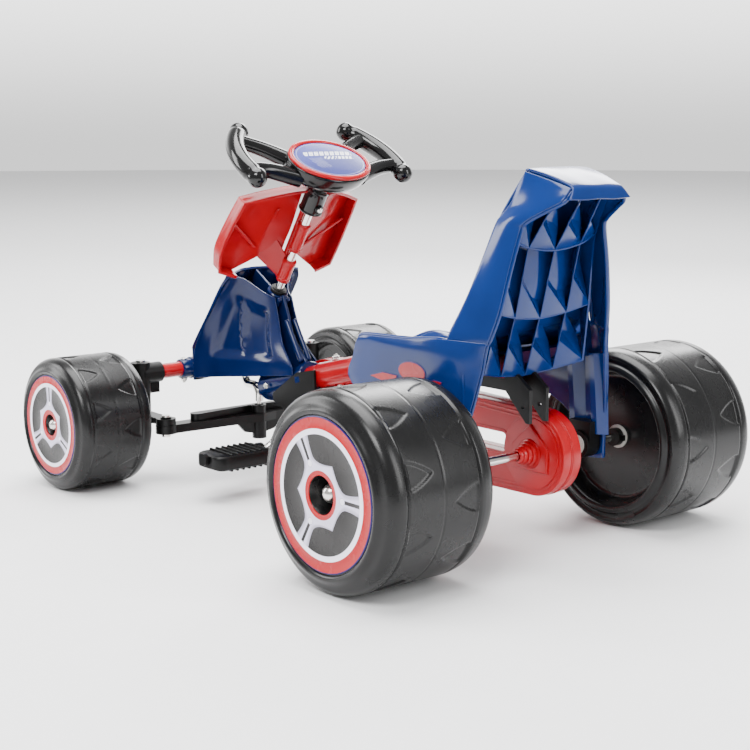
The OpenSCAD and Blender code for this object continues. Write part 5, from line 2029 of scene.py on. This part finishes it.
            points, faces = patch([[gusset[1], gusset[0]], [gusset[2], gusset[3]]], 6, 6, straight, straight)
            web = make_object("gusset", points, faces)
            thicken(web, 3.0, 0.0)
            soften(web, 1.2, 3, 40)
            parts.append(bake(web))
            for (ax, ay, az), (bx, by, bz), size in (
                ((160, 42, 446), (193, 31, 420), 2.2),
                ((188, 108, 424), (214, 50, 384), 3.0),
            ):
                path, radii = capsule((ax, ay * s, az), (bx, by * s, bz), size)
                parts.append(tube("tray_rib", path, radii, 16, 0.6))
        for low, high in ((16, 58), (77, 129)):
            steps = (0.0, 0.6, 2.0, 7.0, 8.0)
            rises = [*(low + step for step in steps), *(high - step for step in reversed(steps))]
            radii = [8.0, 10.6, 11.4, 11.4, 10.4, 10.4, 11.4, 11.4, 10.6, 8.0]
            parts.append(tube("sleeve", [column_point(0, 0, r) for r in rises], radii, 40))
        spine = [(8.5, 17), (15, 14), (17, 22), (17, 146), (12, 151), (8.5, 148)]
        plate_piece = plate("spine", [spine], 11.0, 2.0)
        stand = COLUMN @ Matrix(((1, 0, 0, 0), (0, 0, -1, 0), (0, 1, 0, 0), (0, 0, 0, 1)))
        parts.append(move(plate_piece, stand))
        piece = join("fairing_moulding", parts)
        dress(piece, RED_PLASTIC, "steering", ["steering_fairing"], 34)
        head = self.nuts.cross_screw(4.0)
        way = COLUMN.to_3x3() @ Vector((1, 0, 0))
        spots = [(column_point(17.2, 0, h), way) for h in (30, 112)]
        clips = self.shop.fasten("fairing_screws", head, spots, ZINC)
        dress(clips, ZINC, "steering", ["fairing_clips"])
        bpy.data.objects.remove(head)

    def build(self) -> None:
        """Makes everything that turns with the column."""
        self.column()
        parts = self.hub()
        for side in Side:
            parts += self.grip(side)
        wheel = join("hand_wheel", parts)
        dress(wheel, GRIP_BLACK, "steering", ["steering_wheel"], 40)
        trim = [
            (0.2, -0.4), (7.8, -0.4), (8.6, 0.5), (8.9, 1.8), (8.4, 3.4), (6.6, 4.6), (3.6, 5.2),
            (1.2, 4.6), (0.2, 3.2),
        ]  # fmt: skip
        ring = self.oval("trim", trim)
        dress(ring, RED_PLASTIC, "steering", ["wheel_trim_ring"], 50)
        rings = []
        dome = ((-0.2, 0.0), (-0.2, 2.2), (-0.8, 3.0), (-4, 3.4), (-16, 4.2), (-30, 4.8), (-44, 5.0))
        for offset, rise in dome:
            rings.append(
                [
                    column_point(
                        (self.badge + offset) * self.squash * math.sin(a),
                        (self.badge + offset) * math.cos(a),
                        249 + rise,
                    )
                    for a in (2 * math.pi * k / 96 for k in range(96))
                ]
            )
        badge = loft("badge_plate", rings)
        centre = column_point(0, 0, 250) * MM
        forward = COLUMN.to_3x3() @ Vector((1, 0, 0))
        finish = BadgePrint("badge_print", (0.02, 0.028, 0.19), tuple(centre), tuple(forward))
        dress(badge, finish, "steering", ["wheel_badge"], 30)
        head = self.nuts.cross_screw(4.6)
        way = COLUMN.to_3x3() @ Vector((-1, 0, 0))
        screw = self.shop.fasten("socket_screw", head, [(column_point(-20.4, 0, 170), way)], ZINC)
        dress(screw, ZINC, "steering", ["hub_screw"])
        bpy.data.objects.remove(head)
        self.fairing()


@dataclass
class Drive:
    """The crank, its pedals and the chain guard."""

    shop: Workshop
    nuts: FastenerShop
    front: float = 71.2
    rear: float = 60.1

    @staticmethod
    def arm(sign: float, throw: float, y: float) -> Vector:
        """A point of the crank, by distance from its axis."""
        return Vector(
            (CRANK_X + sign * throw * math.sin(REST), y, CRANK_Z - sign * throw * math.cos(REST))
        )

    def outline(self, shrink: float) -> list[tuple[float, float]]:
        """The guard's outline in X-Z, drawn in by shrink."""
        a, b = Vector((CRANK_X, CRANK_Z)), Vector((REAR_X, REAR_Z))
        rf, rr = self.front - shrink, self.rear - shrink
        gap = (a - b).length
        slope = math.atan2(a.y - b.y, a.x - b.x)
        lean = math.asin((rf - rr) / gap)
        top, low = math.pi / 2 + slope + lean, -math.pi / 2 + slope - lean
        run = []
        for k in range(49):
            t = low + (top - low) * k / 48
            run.append((a.x + rf * math.cos(t), a.y + rf * math.sin(t)))
        for k in range(49):
            t = top + (low + 2 * math.pi - top) * k / 48
            run.append((b.x + rr * math.cos(t), b.y + rr * math.sin(t)))
        return run

    @staticmethod
    def window(grow: float) -> list[tuple[float, float]]:
        """The rounded window between the runs, grown by grow."""
        x0, x1, z0, z1, r = -290 - grow, 26.8 + grow, 123 - grow, 150 + grow, 6 + grow
        run = []
        corners = (
            (x1 - r, z0 + r, -90),
            (x1 - r, z1 - r, 0),
            (x0 + r, z1 - r, 90),
            (x0 + r, z0 + r, 180),
        )
        for cx, cz, start in corners:
            for k in range(9):
                t = math.radians(start + 90 * k / 8)
                run.append((cx + r * math.cos(t), cz + r * math.sin(t)))
        return run

    @staticmethod
    def circle(x: float, z: float, radius: float, count: int = 64) -> list[tuple[float, float]]:
        """A circle's outline."""
        return [
            (x + radius * math.cos(a), z + radius * math.sin(a))
            for a in (2 * math.pi * k / count for k in range(count))
        ]

    def guard(self, name: str, node: str, sign: float) -> None:
        """One half of the chain guard.

        Args:
            name: The piece's name.
            node: The CAD node it stands for.
            sign: 1 for the half nearer the middle of the kart.
        """
        seam, width, wall = -38.7, 17.5, 2.5
        outer_y = seam + sign * width
        holes = [self.circle(CRANK_X, CRANK_Z, 7.2, 40), self.circle(REAR_X, REAR_Z, 7.0, 40)]
        face = plate("face", [self.outline(0.3), self.window(0.3), *holes], wall, 1.0)
        parts = [move(face, in_side_view(outer_y - sign * wall / 2))]
        for outline in ([self.outline(0), self.outline(wall)], [self.window(wall), self.window(0)]):
            rim = plate("rim", outline, width - 1.4, 0.6)
            parts.append(move(rim, in_side_view(seam + sign * (width / 2 + 0.1))))
        bead = plate("bead", [self.outline(-0.9), self.outline(2.0)], 2.6, 0.9)
        parts.append(move(bead, in_side_view(seam + sign * 1.5)))
        for grow, inset in ((5.0, 8.2), (11.0, 13.6)):
            rib = plate("face_line", [self.outline(grow), self.outline(inset)], 1.4, 0.6)
            parts.append(move(rib, in_side_view(outer_y + sign * 0.2)))
        frame = plate("window_line", [self.window(5.5), self.window(2.4)], 1.4, 0.6)
        parts.append(move(frame, in_side_view(outer_y + sign * 0.2)))
        for radius, thick in ((54.0, 1.6), (50.5, 3.2)):
            disc = plate("boss_disc", [self.circle(REAR_X, REAR_Z, radius, 96), holes[1]], thick, 0.6)
            parts.append(move(disc, in_side_view(outer_y + sign * thick / 2 - sign * 0.4)))
        disc = plate("crank_disc", [self.circle(CRANK_X, CRANK_Z, 40, 96), holes[0]], 1.8, 0.6)
        parts.append(move(disc, in_side_view(outer_y + sign * 0.5)))
        if sign > 0:
            plinth = [(-377, 106), (-309, 106), (-309, 140), (-343, 172), (-377, 140)]
            base = plate("plinth", [plinth, holes[1]], 7.0, 2.0)
            parts.append(move(base, in_side_view(outer_y + 3.2)))
            steps = [
                (7.0, -1), (21, -1), (22, 4), (21.4, 7.6), (20, 8.8), (18.2, 9.2), (17.8, 12.6), (16.9, 14),
                (15, 14.5), (14.6, 18.8), (13.8, 20), (12.4, 20.5), (12.1, 25), (11.4, 26.3), (10.3, 26.8),
                (10, 29.6), (9.2, 31), (7.0, 31),
            ]  # fmt: skip
            points, faces = lathe(steps, 64)
            stand = Matrix.Translation((REAR_X, outer_y, REAR_Z)) @ Matrix.Rotation(-math.pi / 2, 4, "X")
            hub = make_object("stepped_hub", placed(points, stand), faces)
            point_out(hub)
            parts.append(hub)
        piece = join(name, parts)
        dress(piece, GUARD_RED, "frame", [node], 34)

    def pedal(self, side: Side) -> None:
        """One pedal: a block with a ribbed tread and a round nose."""
        s = side.value
        length = 106
        pin = self.arm(s, THROW, s * 92.0)
        rings = []
        section = [
            (-34, -11), (-33, -14), (-30, -16), (-15, -16.4), (0, -16.5), (15, -16.4), (30, -16), (33, -14),
            (34, -11), (34, 3), (32.6, 5.6), (30, 7), (15, 7.4), (0, 7.5), (-15, 7.4), (-30, 7), (-32.6, 5.6),
            (-34, 3),
        ]  # fmt: skip
        rises = [0.0, 1.5, 4, 12, 24, 40, 56, 72, 84, 89, 92, 95, 98, 100.5, 102.6, 104.2, 105.4, length]
        for rise in rises:
            over = max(0.0, rise - 88) / (length - 88)
            narrow = 1.0 - 0.42 * (1.0 - math.sqrt(1.0 - over * over)) - 0.05 * over
            low = 1.0 if rise > 1 else 0.96
            rings.append([(x * narrow * low, z * low * (1.0 - 0.2 * over**4), rise) for x, z in section])
        turn = Matrix.Translation(pin) @ (
            Matrix.Rotation(-math.pi / 2, 4, "X") if s > 0 else Matrix.Rotation(math.pi / 2, 4, "X")
        )
        flip = Matrix.Diagonal((1, -s, 1, 1))
        stand = turn @ flip
        parts = [loft("block", [placed(ring, stand) for ring in rings])]
        for k in range(7):
            rise = 12.0 + k * 11.0
            half = 29.0
            for top in (7.6, -16.6):
                path, radii = capsule((-half, top, rise), (half, top, rise), 2.3, 5)
                parts.append(tube("tread", placed(path, stand), radii, 14))
        ear = [(0, 0, r) for r in (-0.4, 0.6, 2, 9, 10, 10)]
        parts.append(tube("pin_boss", placed(ear, stand), [10.4, 12, 12.6, 12.6, 11.6, 8], 32))
        name = "left_pedal" if side is Side.LEFT else "right_pedal"
        body = "pedal_left" if side is Side.LEFT else "pedal_right"
        piece = join(name + "_block", parts)
        dress(piece, PART_BLACK, body, [name], 34)

    def build(self) -> None:
        """Makes the crank, the pedals and the guard."""
        self.guard("guard_near", "guard_inner", 1.0)
        self.guard("guard_far", "guard_outer", -1.0)
        path = [
            self.arm(1, THROW, 201), self.arm(1, THROW, 86), self.arm(1, THROW * 0.86, 74),
            self.arm(1, THROW * 0.2, 50), self.arm(1, 0, 40), self.arm(1, 0, -65),
            self.arm(-1, THROW * 0.25, -70), self.arm(-1, THROW * 0.86, -82), self.arm(-1, THROW, -86),
            self.arm(-1, THROW, -201),
        ]  # fmt: skip
        rod = self.shop.bar("crank_bar", path, 12.0, 9.0, BRIGHT_ROD, 48)
        dress(rod, BRIGHT_ROD, "crank", ["crank_rod"])
        for side in Side:
            self.pedal(side)


GUARD_RED = Moulded("guard_red", (0.38, 0.0012, 0.006), 0.22, mottle=0.1, rub=0.08, shine=0.3)


class CarriedParts:
    """Gives the CAD's own small parts their finishes, by what their names end in."""

    endings: tuple[tuple[tuple[str, ...], Finish], ...] = (
        (("column_collar", "bracket", "knuckle", "tie_plate", "pedal", "caps", "block", "key"), PART_BLACK),
        (("column", "crank_rod", "rear_axle", "stub_axle", "kingpins"), BRIGHT_ROD),
        (("bush", "bushes"), NYLON),
        (("beam", "cross_tube"), RED_ENAMEL),
        (("front_cowl",), COWL_BLUE),
        (("seat_shell", "badge"), SEAT_BLUE),
        (("steering_wheel",), GRIP_BLACK),
        (("wheel", "disc"), WHEEL_BLACK),
        (("fairing", "ring", "guard_inner", "guard_outer"), RED_PLASTIC),
    )

    def build(self, frame: dict[str, Any]) -> None:
        """Puts a finish on every CAD node; what no ending fits is plated steel.
        """
        for name, node in frame["nodes"].items():
            finish = next((f for ends, f in self.endings if name.endswith(ends)), ZINC)
            node.data.materials.clear()
            node.data.materials.append(finish.material())
        LOG.info("finished %d carried parts", len(frame["nodes"]))


@dataclass
class Studio:
    """The floor, the light and the camera."""

    spot: Point = (-1761.7, 1444.8, 584.8)
    forward: Point = (0.7573, -0.6312, -0.1676)
    lens: float = 71.87

    def floor(self) -> None:
        """A wide pale floor, just under the wheels."""
        rings = [
            [(r * math.cos(a), r * math.sin(a), -0.2) for a in Seat.turn(48)]
            for r in (1200, 5000, 16000)
        ]
        points = [(0.0, 0.0, -0.2), *(p for ring in rings for p in ring)]
        faces: list[tuple[int, ...]] = [(0, 1 + k, 1 + (k + 1) % 48) for k in range(48)]
        for i in range(2):
            faces += [
                (1 + i * 48 + k, 49 + i * 48 + k, 49 + i * 48 + (k + 1) % 48, 1 + i * 48 + (k + 1) % 48)
                for k in range(48)
            ]
        ground = make_object("floor", points, faces)
        paper = Moulded(
            "paper", (0.86, 0.86, 0.865), 0.85, grain=1e-5, ripple=1e-5, mottle=0.01, rub=0.0, shine=0.1
        )
        ground.data.materials.append(paper.material())

    def lamp(
        self,
        name: str,
        place: Point,
        size: tuple[float, float],
        power: float,
        target: Point = (0.0, 0.0, 0.25),
    ) -> None:
        """An area light aimed at the kart or at another point.

        Args:
            name: Its name.
            place: Where it is, in metres.
            size: Its sides, in metres.
            power: Its power, in watts.
            target: What it is aimed at, in metres.
        """
        light = bpy.data.lights.new(name, "AREA")
        light.shape, light.size, light.size_y = "RECTANGLE", size[0], size[1]
        light.energy = power
        lamp = bpy.data.objects.new(name, light)
        aim = Vector(target) - Vector(place)
        lamp.matrix_world = Matrix.Translation(place) @ aim.to_track_quat("-Z", "Y").to_matrix().to_4x4()
        bpy.context.scene.collection.objects.link(lamp)

    def build(self) -> None:
        """Sets the studio up."""
        self.floor()
        self.lamp("key", (-1.4, 2.4, 2.8), (1.6, 1.2), 130)
        self.lamp("fill", (-3.0, -1.2, 1.5), (0.9, 2.2), 60)
        self.lamp("top", (0.2, 0.0, 3.0), (2.4, 2.4), 230)
        self.lamp("edge", (2.2, 1.8, 1.4), (0.8, 1.8), 55)
        self.lamp("far", (1.6, -2.4, 2.2), (2.0, 1.2), 110)
        self.lamp("backdrop", (3.5, -3.0, 4.0), (6.0, 6.0), 420, (6.5, -5.4, 0.0))
        world = bpy.data.worlds.new("studio")
        world.use_nodes = True
        graph = Graph(world.node_tree)
        towards = graph.out(graph.add("ShaderNodeTexCoord"), "Generated")
        x, y, z = graph.split(towards)
        facing = (x * self.forward[0] + y * self.forward[1]).rise(0.25, 0.6)
        level = 1.0 - graph.math("MULTIPLY", abs(z) - 0.25, 2.2, clamp=True)
        glow = 0.62 + facing * level * (0.6 + z.rise(-0.02, 0.14) * 2.2)
        sky = graph.add("ShaderNodeBackground", inputs={"Color": (1.0, 1.0, 1.0, 1.0), "Strength": glow})
        graph.add("ShaderNodeOutputWorld", inputs={"Surface": sky.outputs[0]})
        bpy.context.scene.world = world
        view = bpy.data.cameras.new("view")
        view.lens, view.sensor_width = self.lens, 36.0
        view.clip_end = 100.0
        camera = bpy.data.objects.new("view", view)
        turn = Vector(self.forward).to_track_quat("-Z", "Y").to_matrix().to_4x4()
        camera.matrix_world = Matrix.Translation(Vector(self.spot) * MM) @ turn
        bpy.context.scene.collection.objects.link(camera)
        bpy.context.scene.camera = camera


def main() -> None:
    """Builds the kart, piece by piece."""
    logging.basicConfig(level=logging.INFO, format="%(message)s")
    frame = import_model()
    shop, nuts = Workshop(), FastenerShop()
    CarriedParts().build(frame)
    for assembly in (
        Frame(shop, nuts),
        Cowl(shop, nuts),
        Steering(shop, nuts),
        WheelSet(shop, nuts),
        Drive(shop, nuts),
        Seat(shop),
        Studio(),
    ):
        LOG.info("building %s", type(assembly).__name__)
        assembly.build()


if __name__ == "__main__":
    main()
